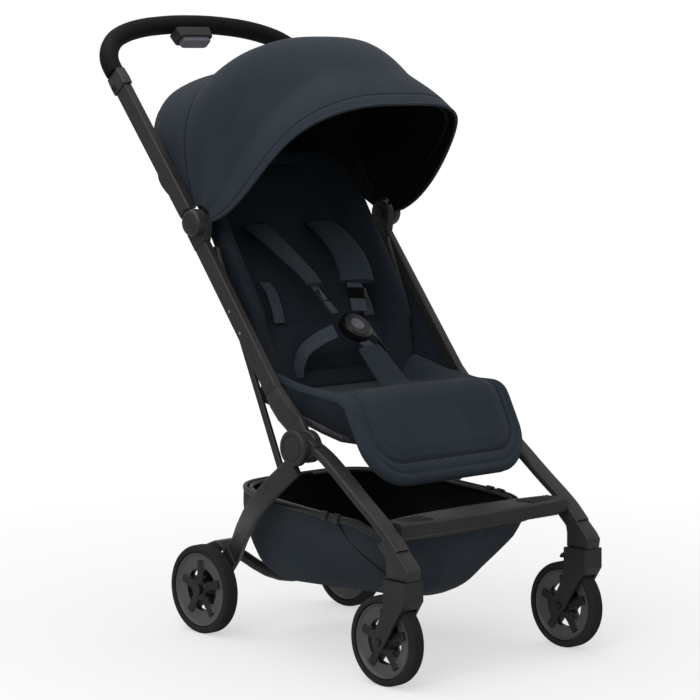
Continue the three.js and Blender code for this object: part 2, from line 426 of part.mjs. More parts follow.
// ------------------------------------------------------------- basket
{
  const lerp = (t, tab) => { let i = 0; while (i + 2 < tab.length && t > tab[i + 1][0]) i++; const [a, b] = [tab[i], tab[i + 1]]; return a[1] + ((b[1] - a[1]) * Math.min(Math.max((t - a[0]) / (b[0] - a[0]), 0), 1)); };
  const LV = [ // level: y front, y back, width factor front and back, z at front, z at back
    [4, 440, 1, 1, 219.5, 252], [14, 440, 0.76, 1, 188, 223], [36, 434, 0.46, 0.96, 148, 176], [62, 418, 0.3, 0.84, 117, 128], [96, 390, 0.24, 0.66, 100, 102]];
  const W = [[4, 172], [60, 181], [150, 186], [250, 186], [330, 176], [400, 160], [440, 152]];
  const rise = [[4, 219.5], [58, 219.5], [100, 236], [250, 246], [440, 252]];
  const rings = (off) => LV.map(([y0, y1, wf, wr, z0, z1], lv) => {
    const out = [], n = 32;
    for (let k = 0; k < n; k++) {
      const t = (2 * Math.PI * (k + 0.5)) / n, ct = Math.cos(t), st = Math.sin(t), e = 5;
      const p = Math.sign(ct) * Math.abs(ct) ** (2 / e), q = Math.sign(st) * Math.abs(st) ** (2 / e);
      const y = (y0 + y1) / 2 + ((y1 - y0) / 2 - off) * q, w = lerp(y, W) * (wf + ((wr - wf) * (y - y0)) / (y1 - y0)) - off;
      const z = lv === 0 ? lerp(y, rise) : z0 + ((z1 - z0) * (y - y0)) / (y1 - y0);
      out.push([w * p, y, z + (lv === LV.length - 1 ? off : 0)]);
    }
    return out;
  });
  add('basket', cup(rings(0), rings(3)), 'fabric');
  // the wire inside the rim, open at the front where the footrest holds the cloth
  const wire = rings(10.2)[0].filter(([x, y]) => y > 58).map(([x, y]) => [x, y, lerp(y, rise) - 1]).sort((p, q) => Math.atan2(p[0], 250 - p[1]) - Math.atan2(q[0], 250 - q[1]));
  add('basket_rod', sweep(wire, [0, 0, 1], 4.2, 4.2, 2, 8), 'bow');
}

group.position.y = -CENTRE_Y;
export default group;
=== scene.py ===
import math
import bmesh
import bpy
import numpy as np
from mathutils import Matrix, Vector

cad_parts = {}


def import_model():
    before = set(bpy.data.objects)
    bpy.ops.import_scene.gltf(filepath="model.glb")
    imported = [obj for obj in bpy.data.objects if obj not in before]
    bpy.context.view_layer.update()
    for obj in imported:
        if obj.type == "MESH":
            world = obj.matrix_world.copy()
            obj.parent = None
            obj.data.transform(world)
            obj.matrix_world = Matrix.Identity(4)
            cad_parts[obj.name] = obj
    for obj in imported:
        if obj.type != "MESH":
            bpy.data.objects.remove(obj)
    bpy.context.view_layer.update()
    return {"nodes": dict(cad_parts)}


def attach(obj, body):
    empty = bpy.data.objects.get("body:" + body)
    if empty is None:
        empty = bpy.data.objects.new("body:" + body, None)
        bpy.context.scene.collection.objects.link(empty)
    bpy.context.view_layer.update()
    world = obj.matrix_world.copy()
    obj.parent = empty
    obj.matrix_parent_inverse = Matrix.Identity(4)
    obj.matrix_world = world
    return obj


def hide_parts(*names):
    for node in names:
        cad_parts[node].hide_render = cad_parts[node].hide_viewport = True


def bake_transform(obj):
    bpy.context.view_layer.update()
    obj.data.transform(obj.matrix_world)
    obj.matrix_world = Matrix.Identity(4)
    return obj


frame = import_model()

# Lengths below are in millimetres, laid out from the front wheel hubs as in the CAD,
# and turned to metres in the row frame by P().
CY = 325.666
H = (436.0, 687.0)
J = (188.0, 347.0)


def P(x, y, z):
    return (x / 1000.0, (y - CY) / 1000.0, z / 1000.0)


def rad(d):
    return math.radians(d)


# ------------------------------------------------------------------ materials
def base(name, color, rough, metal=0.0, sheen=0.0, spec=0.5, coat=0.0):
    m = bpy.data.materials.new(name)
    m.use_nodes = True
    nt = m.node_tree
    b = nt.nodes["Principled BSDF"]
    b.inputs["Base Color"].default_value = (*color, 1)
    b.inputs["Roughness"].default_value = rough
    b.inputs["Metallic"].default_value = metal
    b.inputs["Sheen Weight"].default_value = sheen
    b.inputs["Sheen Roughness"].default_value = 0.5
    b.inputs["Specular IOR Level"].default_value = spec
    b.inputs["Coat Weight"].default_value = coat
    b.inputs["Coat Roughness"].default_value = 0.15
    tc = nt.nodes.new("ShaderNodeTexCoord")
    return m, nt, b, tc


def noise(nt, tc, scale, detail=3.0, rough=0.6):
    n = nt.nodes.new("ShaderNodeTexNoise")
    n.inputs["Scale"].default_value = scale
    n.inputs["Detail"].default_value = detail
    n.inputs["Roughness"].default_value = rough
    nt.links.new(tc.outputs["Object"], n.inputs["Vector"])
    return n


def ramp(nt, src, stops):
    r = nt.nodes.new("ShaderNodeValToRGB")
    el = r.color_ramp.elements
    while len(el) < len(stops):
        el.new(0.5)
    for e, (pos, c) in zip(el, stops):
        e.position = pos
        e.color = (*c, 1)
    nt.links.new(src, r.inputs["Fac"])
    return r


def bump(nt, b, src, strength, dist):
    bp = nt.nodes.new("ShaderNodeBump")
    bp.inputs["Strength"].default_value = strength
    bp.inputs["Distance"].default_value = dist
    nt.links.new(src, bp.inputs["Height"])
    nt.links.new(bp.outputs["Normal"], b.inputs["Normal"])
    return bp


def mix(nt, a, b_, fac, mode="MIX"):
    n = nt.nodes.new("ShaderNodeMix")
    n.data_type = "RGBA"
    n.blend_type = mode
    n.clamp_result = False
    for src, sock in ((fac, n.inputs[0]), (a, n.inputs[6]), (b_, n.inputs[7])):
        if hasattr(src, "is_output"):
            nt.links.new(src, sock)
        elif isinstance(src, (int, float)):
            sock.default_value = src
        else:
            sock.default_value = (*src, 1)
    return n.outputs[2]


def math_node(nt, op, a, b_=None):
    n = nt.nodes.new("ShaderNodeMath")
    n.operation = op
    for v, i in ((a, 0), (b_, 1)):
        if v is None:
            continue
        if hasattr(v, "is_output"):
            nt.links.new(v, n.inputs[i])
        else:
            n.inputs[i].default_value = v
    return n.outputs[0]


def cloth_mat(name, dark, light, thread=620.0, rough=0.86, sheen=0.25, depth=0.00022, streak=(1, 1, 1)):
    """Woven cloth: crossed threads, fleck along the weave, and slow shade changes."""
    m, nt, b, tc = base(name, light, rough, sheen=sheen, spec=0.16)
    waves = []
    for rot in ((0.0, rad(38), rad(45)), (rad(40), 0.0, rad(-45))):
        mp = nt.nodes.new("ShaderNodeMapping")
        mp.inputs["Rotation"].default_value = rot
        nt.links.new(tc.outputs["Object"], mp.inputs["Vector"])
        w = nt.nodes.new("ShaderNodeTexWave")
        w.wave_type = "BANDS"
        w.inputs["Scale"].default_value = thread
        w.inputs["Distortion"].default_value = 1.2
        w.inputs["Detail"].default_value = 1.0
        w.inputs["Detail Scale"].default_value = 3.0
        nt.links.new(mp.outputs["Vector"], w.inputs["Vector"])
        waves.append(w.outputs["Fac"])
    weave = math_node(nt, "MULTIPLY", waves[0], waves[1])
    mp = nt.nodes.new("ShaderNodeMapping")
    mp.inputs["Scale"].default_value = streak
    nt.links.new(tc.outputs["Object"], mp.inputs["Vector"])
    fleck = nt.nodes.new("ShaderNodeTexNoise")
    fleck.inputs["Scale"].default_value = 420
    fleck.inputs["Detail"].default_value = 4
    nt.links.new(mp.outputs["Vector"], fleck.inputs["Vector"])
    slow = noise(nt, tc, 9.0, 2.0)
    c1 = ramp(nt, fleck.outputs["Fac"], [(0.32, dark), (0.68, light)]).outputs["Color"]
    c2 = ramp(nt, slow.outputs["Fac"], [(0.3, (0.82, 0.84, 0.86)), (0.75, (1.08, 1.06, 1.05))]).outputs["Color"]
    c3 = ramp(nt, weave, [(0.0, (0.86, 0.86, 0.87)), (0.8, (1.06, 1.06, 1.06))]).outputs["Color"]
    nt.links.new(mix(nt, mix(nt, c1, c2, 1.0, "MULTIPLY"), c3, 1.0, "MULTIPLY"), b.inputs["Base Color"])
    h = math_node(nt, "ADD", weave, math_node(nt, "MULTIPLY", fleck.outputs["Fac"], 0.7))
    bump(nt, b, h, 0.35, depth)
    return m


def hard_mat(name, color, rough, metal=0.0, grain=900.0, depth=0.00006, spec=0.5, coat=0.0, wear=0.25, streak=None):
    """Moulded or anodised skin: fine grain, slow tone changes and slightly rubbed patches."""
    m, nt, b, tc = base(name, color, rough, metal, spec=spec, coat=coat)
    g = nt.nodes.new("ShaderNodeTexNoise")
    g.inputs["Scale"].default_value = grain
    g.inputs["Detail"].default_value = 3
    if streak:
        mp = nt.nodes.new("ShaderNodeMapping")
        mp.inputs["Scale"].default_value = streak
        nt.links.new(tc.outputs["Object"], mp.inputs["Vector"])
        nt.links.new(mp.outputs["Vector"], g.inputs["Vector"])
    else:
        nt.links.new(tc.outputs["Object"], g.inputs["Vector"])
    slow = noise(nt, tc, 14.0, 4.0)
    lo = tuple(c * 0.86 for c in color)
    hi = tuple(min(c * 1.16, 1) for c in color)
    c1 = ramp(nt, slow.outputs["Fac"], [(0.3, lo), (0.72, hi)]).outputs["Color"]
    c2 = ramp(nt, g.outputs["Fac"], [(0.35, (0.93, 0.93, 0.93)), (0.68, (1.08, 1.08, 1.08))]).outputs["Color"]
    nt.links.new(mix(nt, c1, c2, 1.0, "MULTIPLY"), b.inputs["Base Color"])
    scuff = noise(nt, tc, 55.0, 5.0, 0.7)
    r = ramp(nt, scuff.outputs["Fac"], [(0.35, (rough - 0.06,) * 3), (0.75, (min(rough + wear * 0.4, 1),) * 3)])
    nt.links.new(r.outputs["Color"], b.inputs["Roughness"])
    bump(nt, b, g.outputs["Fac"], 0.3, depth)
    return m


M = {
    "canopy": cloth_mat("canopy_twill", (0.019, 0.028, 0.037), (0.030, 0.041, 0.053), sheen=0.05, streak=(1, 3, 1)),
    "pad": cloth_mat("pad_cloth", (0.019, 0.028, 0.037), (0.032, 0.044, 0.057), thread=520, sheen=0.05),
    "pad_dark": cloth_mat("seat_cloth", (0.009, 0.014, 0.020), (0.016, 0.024, 0.033), thread=520, sheen=0.03),
    "strap_pad": cloth_mat("strap_cloth", (0.017, 0.025, 0.034), (0.031, 0.043, 0.056), thread=600, sheen=0.05),
    "lining": cloth_mat("lining_cloth", (0.0016, 0.0018, 0.0022), (0.003, 0.0032, 0.004), thread=700, sheen=0.0),
    "basket": cloth_mat("basket_cloth", (0.020, 0.030, 0.040), (0.034, 0.046, 0.058), thread=430, rough=0.84, sheen=0.04),
    "basket_in": cloth_mat("basket_lining", (0.004, 0.004, 0.0045), (0.009, 0.0088, 0.009), thread=430, sheen=0.01),
    "piping": cloth_mat("piping", (0.009, 0.013, 0.018), (0.017, 0.024, 0.031), thread=900, sheen=0.03),
    "web": cloth_mat("webbing", (0.026, 0.036, 0.047), (0.054, 0.070, 0.088), thread=330, rough=0.6, sheen=0.05, depth=0.0004),
    "frame": hard_mat("anodised_tube", (0.030, 0.0275, 0.028), 0.40, metal=0.2, grain=600, spec=0.35, streak=(1, 0.2, 0.2)),
    "leg": hard_mat("anodised_leg", (0.028, 0.026, 0.0265), 0.42, metal=0.15, grain=700, spec=0.35),
    "plastic": hard_mat("grained_plastic", (0.018, 0.0165, 0.017), 0.5, spec=0.35),
    "cap": hard_mat("satin_plastic", (0.030, 0.0275, 0.029), 0.46, coat=0.04, spec=0.35),
    "foam": hard_mat("soft_grip", (0.0055, 0.0052, 0.0052), 0.75, grain=420, depth=0.0003, spec=0.14),
    "button": hard_mat("button_grey", (0.11, 0.112, 0.13), 0.35),
    "tyre": hard_mat("tyre_foam", (0.019, 0.018, 0.0185), 0.85, grain=300, depth=0.0003, spec=0.22),
    "rim": hard_mat("rim_grey", (0.078, 0.074, 0.078), 0.46, spec=0.35),
    "star": hard_mat("rim_star", (0.0095, 0.009, 0.0095), 0.45, spec=0.35),
    "gloss": hard_mat("gloss_black", (0.005, 0.0046, 0.0046), 0.2, grain=200, depth=0.00001, spec=0.3, coat=0.15),
    "steel": hard_mat("bolt_steel", (0.42, 0.42, 0.43), 0.26, metal=1.0, grain=500),
    "bow": hard_mat("black_wire", (0.008, 0.008, 0.009), 0.42, spec=0.4),
    "thread": hard_mat("stitch_thread", (0.05, 0.062, 0.075), 0.7, grain=1500),
}

# ------------------------------------------------------------------ mesh tools
COL = bpy.context.scene.collection


def obj(name, verts, faces, mat, angle=40, sub=0, bevel=0.0, solid=0.0):
    me = bpy.data.meshes.new(name)
    me.from_pydata([P(*v) for v in verts], [], faces)
    me.update()
    bm = bmesh.new()
    bm.from_mesh(me)
    bmesh.ops.remove_doubles(bm, verts=bm.verts, dist=1e-6)
    bmesh.ops.recalc_face_normals(bm, faces=bm.faces)
    bm.to_mesh(me)
    bm.free()
    ob = bpy.data.objects.new(name, me)
    COL.objects.link(ob)
    me.materials.append(M[mat])
    if solid:
        md = ob.modifiers.new("s", "SOLIDIFY")
        md.thickness = solid / 1000
        md.offset = 0
    if bevel:
        md = ob.modifiers.new("b", "BEVEL")
        md.width = bevel / 1000
        md.segments = 3
        md.limit_method = "ANGLE"
        md.angle_limit = rad(35)
    if sub:
        md = ob.modifiers.new("u", "SUBSURF")
        md.levels = md.render_levels = sub
    if solid or bevel or sub:
        bake(ob)
    smooth(ob, angle)
    return ob


def bake(ob):
    bpy.context.view_layer.update()
    dg = bpy.context.evaluated_depsgraph_get()
    me = bpy.data.meshes.new_from_object(ob.evaluated_get(dg))
    ob.modifiers.clear()
    ob.data = me


def smooth(ob, angle=40):
    me = ob.data
    me.polygons.foreach_set("use_smooth", [True] * len(me.polygons))
    me.set_sharp_from_angle(angle=rad(angle))


def joined(name, obs):
    """Several meshes as one object, in the order given."""
    bm = bmesh.new()
    mats = []
    for o in obs:
        start = len(bm.faces)
        bm.from_mesh(o.data)
        bm.faces.ensure_lookup_table()
        for f in bm.faces[start:]:
            m = o.data.materials[f.material_index]
            if m not in mats:
                mats.append(m)
            f.material_index = mats.index(m)
    me = bpy.data.meshes.new(name)
    bm.to_mesh(me)
    bm.free()
    for m in mats:
        me.materials.append(m)
    for o in obs:
        bpy.data.objects.remove(o)
    ob = bpy.data.objects.new(name, me)
    COL.objects.link(ob)
    return ob


def loft(rings, caps=True, closed=True):
    n = len(rings[0])
    verts = [p for r in rings for p in r]
    faces = []
    last = n if closed else n - 1
    for i in range(len(rings) - 1):
        for k in range(last):
            a, b = i * n + k, i * n + (k + 1) % n
            faces.append((a, b, b + n, a + n))
    if caps:
        faces.append(tuple(range(n))[::-1])
        faces.append(tuple(range((len(rings) - 1) * n, len(rings) * n)))
    return verts, faces


def ring(c, u, v, a, b, e=2.0, n=32):
    out = []
    for k in range(n):
        t = 2 * math.pi * (k + 0.5) / n
        ct, st = math.cos(t), math.sin(t)
        p = math.copysign(abs(ct) ** (2 / e), ct) * a
        q = math.copysign(abs(st) ** (2 / e), st) * b
        out.append(tuple(c[j] + u[j] * p + v[j] * q for j in range(3)))
    return out


def spline(pts, n):
    """Catmull-Rom through pts, n spans between each pair."""
    p = [np.array(q, float) for q in pts]
    p = [2 * p[0] - p[1]] + p + [2 * p[-1] - p[-2]]
    out = []
    for i in range(1, len(p) - 2):
        a, b, c, d = p[i - 1], p[i], p[i + 1], p[i + 2]
        for k in range(n):
            t = k / n
            out.append(0.5 * (2 * b + (c - a) * t + (2 * a - 5 * b + 4 * c - d) * t * t + (3 * b - a - 3 * c + d) * t ** 3))
    out.append(p[-2])
    return [tuple(map(float, q)) for q in out]


def sweep(pts, side, a, b, e=2.0, n=24, caps=True):
    rings = []
    for i, p in enumerate(pts):
        t = np.array(pts[min(i + 1, len(pts) - 1)], float) - np.array(pts[max(i - 1, 0)], float)
        t /= np.linalg.norm(t)
        s0 = np.array(side(i) if callable(side) else side, float)
        v = np.cross(t, s0)
        v /= np.linalg.norm(v)
        u = np.cross(v, t)
        rings.append(ring(p, u, v, a(i) if callable(a) else a, b(i) if callable(b) else b, e, n))
    return loft(rings, caps)


def rounded(rings_fn, name, mat, **k):
    v, f = rings_fn
    return obj(name, v, f, mat, **k)


def lathe(profile, x0, y, z, n=64, phase=0.0):
    """profile of (r, x), closed, about an axis along X."""
    rings = []
    for k in range(n):
        t = 2 * math.pi * k / n + phase
        rings.append([(x0 + x, y + r * math.cos(t), z + r * math.sin(t)) for r, x in profile])
    m = len(profile)
    verts = [p for r in rings for p in r]
    faces = []
    for i in range(n):
        for k in range(m):
            faces.append((i * m + k, i * m + (k + 1) % m, ((i + 1) % n) * m + (k + 1) % m, ((i + 1) % n) * m + k))
    return verts, faces


def sstep(t):
    t = np.clip(t, 0, 1)
    return t * t * (3 - 2 * t)


def both(fn, name, body, repl=None, bodies=None):
    for s, q in ((1, "right"), (-1, "left")):
        o = fn(s, f"{name}_{q}")
        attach(o, f"{body}_{q}" if bodies else body)
        if repl:
            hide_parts(*[f"{r}_{q}" for r in repl])


def sx(vf, s):
    v, f = vf
    return [(s * a, b, c) for a, b, c in v], f


# ------------------------------------------------------------------ canopy
def smooth_table(tab, lo, hi, win=4.0):
    g = np.arange(lo - 20, hi + 20, 0.25)
    a, b = np.array(tab).T
    v = np.interp(g, a, b)
    v = np.where(g < a[0], b[0] + (g - a[0]) * (b[1] - b[0]) / (a[1] - a[0]), v)
    v = np.where(g > a[-1], b[-1] + (g - a[-1]) * (b[-1] - b[-2]) / (a[-1] - a[-2]), v)
    k = int(win / 0.25)
    w = np.hanning(2 * k + 1)
    w /= w.sum()
    s = np.convolve(v, w, "same")
    return lambda q: float(np.interp(q, g[k:-k], s[k:-k]))


R_MAIN = smooth_table([(78.6, 256), (85, 272), (92, 289), (100, 306), (112, 317), (128, 315), (144, 326)], 78, 146, 5)
R_REAR = smooth_table([(27, 205), (34, 240), (40, 264), (46, 278), (52, 280), (62, 271), (70, 261), (78, 251)], 27, 78, 3)


def can_n(psi):
    return 3.4 if psi < 92 else 3.4 - (psi - 92) * 0.046 if psi < 112 else 2.48 if psi < 126 else 2.48 + (psi - 126) * 0.046


CAN_N = smooth_table([(q, can_n(q)) for q in range(20, 160)], 20, 150, 4)


def can_lean(psi, r):
    fwd = 0 if r > 280 else ((280 - r) / 255) ** 2.1 * 31
    seam = -(1 - r / 262) * 15
    back = seam * max(0, (psi - 52) / 26) if psi < 78.3 else seam * max(0, min(1, (100 - psi) / 21.4))
    return back + fwd * max(0, (psi - 110) / 34)


def can_pt(psi, f, rfun, off=0.0, r0=27.0):
    """f runs 0 to 1 from the right hinge over the top to the left one."""
    e = 2 / CAN_N(psi)
    R0, W = rfun(psi) - off, 206.3 - off
    t0 = math.asin(min(1.0, (r0 / R0) ** (1 / e)))
    # even steps along the arch rather than in its angle
    tt = t0 + (math.pi - 2 * t0) * f
    ct, st = math.cos(tt), math.sin(tt)
    x = math.copysign(abs(ct) ** e * W, ct)
    r = max(abs(st) ** e * R0, r0)
    a = rad(psi + can_lean(psi, r))
    return (x, H[0] + r * math.cos(a), H[1] + r * math.sin(a))


def can_sheet(psis, rfun, off, cols=121, dent=None):
    verts, faces = [], []
    for i, psi in enumerate(psis):
        d = dent(psi) if dent else 0.0
        for k in range(cols):
            verts.append(can_pt(psi, k / (cols - 1), rfun, off + d))
    for i in range(len(psis) - 1):
        for k in range(cols - 1):
            a = i * cols + k
            faces.append((a, a + 1, a + cols + 1, a + cols))
    return verts, faces


def front_dent(psi):
    sag = 3.0 * math.sin(math.pi * np.clip((psi - 80) / 34, 0, 1)) ** 2 + 2.0 * math.sin(math.pi * np.clip((psi - 114) / 27, 0, 1)) ** 2
    stitch = 1.4 * math.exp(-(((psi - 140.3) / 0.28) ** 2))
    seam = 1.0 * math.exp(-(((psi - 79.6) / 0.3) ** 2))
    return float(sag + stitch + seam)


psis_f = sorted(set([round(q, 3) for q in list(np.linspace(78.5, 144, 60)) + [139.6, 139.95, 140.15, 140.3, 140.45, 140.65, 141.0, 79.2, 79.6, 80.0]]))
psis_r = sorted(set([round(q, 3) for q in list(np.linspace(27, 77.9, 46)) + [46.6, 47.0, 47.4, 29.6, 30.0, 30.4]]))


def rear_dent(psi):
    return float(2.5 * math.sin(math.pi * np.clip((psi - 50) / 27, 0, 1)) ** 2 + 1.2 * math.exp(-(((psi - 47.0) / 0.35) ** 2)) + 1.0 * math.exp(-(((psi - 30.0) / 0.35) ** 2)))


def edge_roll(name, psi, rfun, a, b, mat, off=0.0, n=10, cols=101):
    pts = [can_pt(psi, k / (cols - 1), rfun, off) for k in range(cols)]
    c = (0.0, H[0], H[1])
    dirs = []
    for p in pts:
        d = np.array(p) - np.array((p[0] * 0.55, c[1], c[2]))
        dirs.append(d / np.linalg.norm(d))
    v, f = sweep(pts, lambda i: tuple(dirs[i]), a, b, 2.0, n)
    return obj(name, v, f, mat)


v, f = can_sheet(psis_f, R_MAIN, 0.0, dent=front_dent)
can_front = obj("canopy_front_cloth", v, f, "canopy", angle=60)
v, f = can_sheet(psis_f, R_MAIN, 3.4, dent=lambda q: front_dent(q) * 0.5)
can_lin = obj("canopy_front_lining", v, f, "lining", angle=60)
can_hem = edge_roll("canopy_hem", 144.0, R_MAIN, 2.6, 2.2, "canopy", off=1.7)
seam_roll = edge_roll("canopy_seam_piping", 78.3, R_MAIN, 1.6, 1.6, "piping", off=0.6, n=8)
v, f = can_sheet(psis_r, R_REAR, 0.0, dent=rear_dent)
can_rear = obj("canopy_rear_cloth", v, f, "canopy", angle=60)
v, f = can_sheet(psis_r, R_REAR, 3.2, dent=rear_dent)
can_rlin = obj("canopy_rear_lining", v, f, "lining", angle=60)
rear_hem = edge_roll("canopy_rear_hem", 27.2, R_REAR, 2.4, 2.2, "piping", off=1.6)


# the strip that joins the two panels under the piping
strip = []
for psi_, rf_, off_ in ((79.3, R_MAIN, 1.6), (78.6, R_MAIN, 1.4), (78.3, R_MAIN, 3.0), (78.0, R_REAR, 0.2), (77.6, R_REAR, 1.2), (76.8, R_REAR, 1.8)):
    strip.append([can_pt(psi_, k / 120, rf_, off_) for k in range(121)])
v, f = loft(strip, caps=False, closed=False)
seam_strip = obj("canopy_seam_strip", v, f, "piping", angle=60)
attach(seam_strip, "frame")


for o in (can_front, can_lin, can_hem):
    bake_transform(o)
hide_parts("canopy_main")
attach(seam_roll, "frame")
for o in (can_rear, can_rlin, rear_hem):
    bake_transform(o)
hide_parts("canopy_rear")

# ------------------------------------------------------------------ seat liner: apron, seat and sides in one piece
def path_builder(pts):
    p = np.array(pts, float)
    d = np.r_[0, np.cumsum(np.linalg.norm(np.diff(p, axis=0), axis=1))]
    return p, d


# section of the liner's middle surface: apron bottom, up to the bend, then back along the seat
sec = [(53.0, 290.5), (66, 315), (79.5, 340), (92.5, 365), (104, 387), (112, 402), (119.5, 412.5), (130, 418.3), (145, 420), (190, 419), (240, 415.5), (290, 413), (318, 413.5)]
SEC = np.array([(q[1], q[2]) for q in spline([(0, a, b) for a, b in sec], 10)])
SD = np.r_[0, np.cumsum(np.linalg.norm(np.diff(SEC, axis=0), axis=1))]
S_BEND = float(SD[70])
S_END = float(SD[-1])


def sec_at(s):
    y = np.interp(s, SD, SEC[:, 0])
    z = np.interp(s, SD, SEC[:, 1])
    h = 3.0
    dy = np.interp(s + h, SD, SEC[:, 0]) - np.interp(s - h, SD, SEC[:, 0])
    dz = np.interp(s + h, SD, SEC[:, 1]) - np.interp(s - h, SD, SEC[:, 1])
    L = math.hypot(dy, dz)
    return y, z, -dz / L, dy / L  # normal points forwards and up


def rrect(x, s, hw, s0, s1, r):
    """Signed distance to a rounded rectangle, below 0 inside."""
    qx, qs = abs(x) - (hw - r), abs(s - (s0 + s1) / 2) - ((s1 - s0) / 2 - r)
    return math.hypot(max(qx, 0), max(qs, 0)) + min(max(qx, qs), 0) - r


def liner():
    NU, NS = 132, 124
    top, bot = [], []
    for i in range(NS + 1):
        s = S_END * i / NS
        if s < 78:
            w = 178 - 78 + math.sqrt(max(78 ** 2 - (78 - s) ** 2, 0)) * 1.0
        else:
            w = 178
        if s > S_BEND - 10:
            w = 178 - 6 * float(sstep((s - S_BEND + 10) / 60))
        y, z, ny, nz = sec_at(s)
        seat = float(sstep((s - S_BEND - 20) / 45))
        rise = float(np.interp(y, [140, 165, 200, 250, 288, 318], [0, 2, 6, 16, 28, 34])) * seat
        for k in range(NU + 1):
            u = -1 + 2 * k / NU
            u = math.copysign(1 - (1 - abs(u)) ** 1.15, u)
            x = u * w
            d_edge = min(w - abs(x), 999)
            if s < 78:
                d_edge = min(d_edge, -rrect(x, s, 178, 0, 400, 78))
            d_edge = max(d_edge, 0)
            h = 9.0 * math.sqrt(max(0, 1 - (1 - min(d_edge, 13) / 13) ** 2))
            fade = 1 - seat
            h -= 2.6 * math.exp(-(((d_edge - 17) / 2.2) ** 2)) * (0.35 + 0.65 * fade)
            d_in = rrect(x, s, 150, 36, S_BEND + 44, 46)
            h += (4.2 * float(sstep(-d_in / 26))) * fade
            h -= 4.4 * math.exp(-((d_in / 2.8) ** 2)) * (1 if s < S_BEND + 30 else 0.5)
            h += 1.2 * math.cos(x / 178 * math.pi / 2) * fade
            # seat dishes a little and its sides rise
            side = float(sstep((abs(x) - 112) / 56))
            up = rise * side
            dish = -5.0 * seat * (1 - side)
            h_b = -6.5 if d_edge > 5 else -6.5 * math.sqrt(max(0, 1 - (1 - d_edge / 5) ** 2))
            top.append((x, y + ny * (h + dish), z + nz * (h + dish) + up))
            bot.append((x * (0.995 if d_edge > 3 else 1), y + ny * (h_b + dish * 0.4), z + nz * (h_b + dish * 0.4) + up * 0.96))
    n = NU + 1
    verts = top + bot
    off = len(top)
    faces = []
    for i in range(NS):
        for k in range(NU):
            a = i * n + k
            faces.append((a, a + 1, a + n + 1, a + n))
            faces.append((off + a, off + a + n, off + a + n + 1, off + a + 1))
    for i in range(NS):
        for k in (0, NU):
            a = i * n + k
            faces.append((a, a + n, off + a + n, off + a))
    for k in range(NU):
        for i in (0, NS):
            a = i * n + k
            faces.append((a, a + 1, off + a + 1, off + a))
    return verts, faces


v, f = liner()
seat = obj("seat_liner", v, f, "pad", angle=70)
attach(seat, "frame")
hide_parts("seat_pad", "calf_pad")

# ------------------------------------------------------------------ backrest
BK, BB = (0.5299, 0.848), (0.848, -0.5299)


def bk(s, o):
    return (321 + BK[0] * s + BB[0] * o, 431 + BK[1] * s + BB[1] * o)


def back_cushion():
    NU, NS = 120, 140
    top, bot = [], []
    L = 428
    S0B = -18.0
    for i in range(NS + 1):
        s = S0B + (L - S0B) * i / NS
        wing = float(np.interp(s, [0, 40, 110, 300, 380, 428], [4, 14, 44, 42, 22, 6]))
        w = 172 - 14 * float(sstep((s - 380) / 60)) - 10 * float(sstep((40 - s) / 40))
        for k in range(NU + 1):
            u = -1 + 2 * k / NU
            x = u * w
            d = max(min(w - abs(x), s - S0B, L - s), 0.0)
            crown = 7.0 * math.sqrt(max(0, 1 - (1 - min(d, 12) / 12) ** 2))
            inner = rrect(x, s, 122, 14, 400, 60)
            h = crown - 4.0 * math.exp(-((inner / 3.2) ** 2)) + 4.0 * float(sstep(-inner / 30))
            # cross channel under the head panel and the strap slots
            if abs(x) < 122:
                h -= 3.0 * math.exp(-(((s - 236) / 3.0) ** 2)) + 2.0 * math.exp(-(((s - 96) / 3.0) ** 2))
            for xs in (-70, 70):
                slot_d = max(abs(x - xs) - 21, abs(s - 283) - 7)
                h -= 7.0 * float(sstep(-slot_d / 3 + 0.4))
            side = float(sstep((abs(x) - 112) / 48))
            h += wing * side
            top.append((x, *bk(s, -h + 3)))
            hb = 17.0 if d > 6 else 17.0 * math.sqrt(max(0, 1 - (1 - d / 6) ** 2))
            bot.append((x, *bk(s, hb - wing * side * 0.62)))
    n = NU + 1
    verts = top + bot
    off = len(top)
    faces = []
    for i in range(NS):
        for k in range(NU):
            a = i * n + k
            faces.append((a, a + 1, a + n + 1, a + n))
            faces.append((off + a, off + a + n, off + a + n + 1, off + a + 1))
    for i in range(NS):
        for k in (0, NU):
            a = i * n + k
            faces.append((a, a + n, off + a + n, off + a))
    for k in range(NU):
        for i in (0, NS):
            a = i * n + k
            faces.append((a, a + 1, off + a + 1, off + a))
    return verts, faces


v, f = back_cushion()
back = obj("backrest_cushion", v, f, "pad_dark", angle=70)
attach(back, "back")
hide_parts("backrest")


# cloth wall between the seat and each lower tube
def tube_y(z):
    return 193.4 + (z - 347) * 0.787


def gusset(s, name):
    """From the lower tube back to the side of the backrest, with a slack fold down its middle."""
    rows = []
    for i in range(41):
        t = i / 40
        z = 418 + (672 - 418) * t
        a = np.array((191.0, tube_y(z) + 1, z))
        sb = -14 + (346 + 14) * t
        b = np.array((171.5 - 8 * float(sstep((30 - sb) / 40)), *bk(sb, 5)))
        row = []
        for k in range(15):
            u = k / 14
            q = a * (1 - u) + b * u
            bulge = math.sin(math.pi * u)
            q = q + np.array((3.5 * bulge + 1.6 * math.sin(u * 9 + t * 7) * bulge, 0, -4 * bulge + 1.5 * math.sin(t * 23 + 3 * u) * bulge))
            row.append((s * float(q[0]), float(q[1]), float(q[2])))
        rows.append(row)
    v, f = loft(rows, caps=False, closed=False)
    return obj(name, v, f, "pad_dark", angle=60)


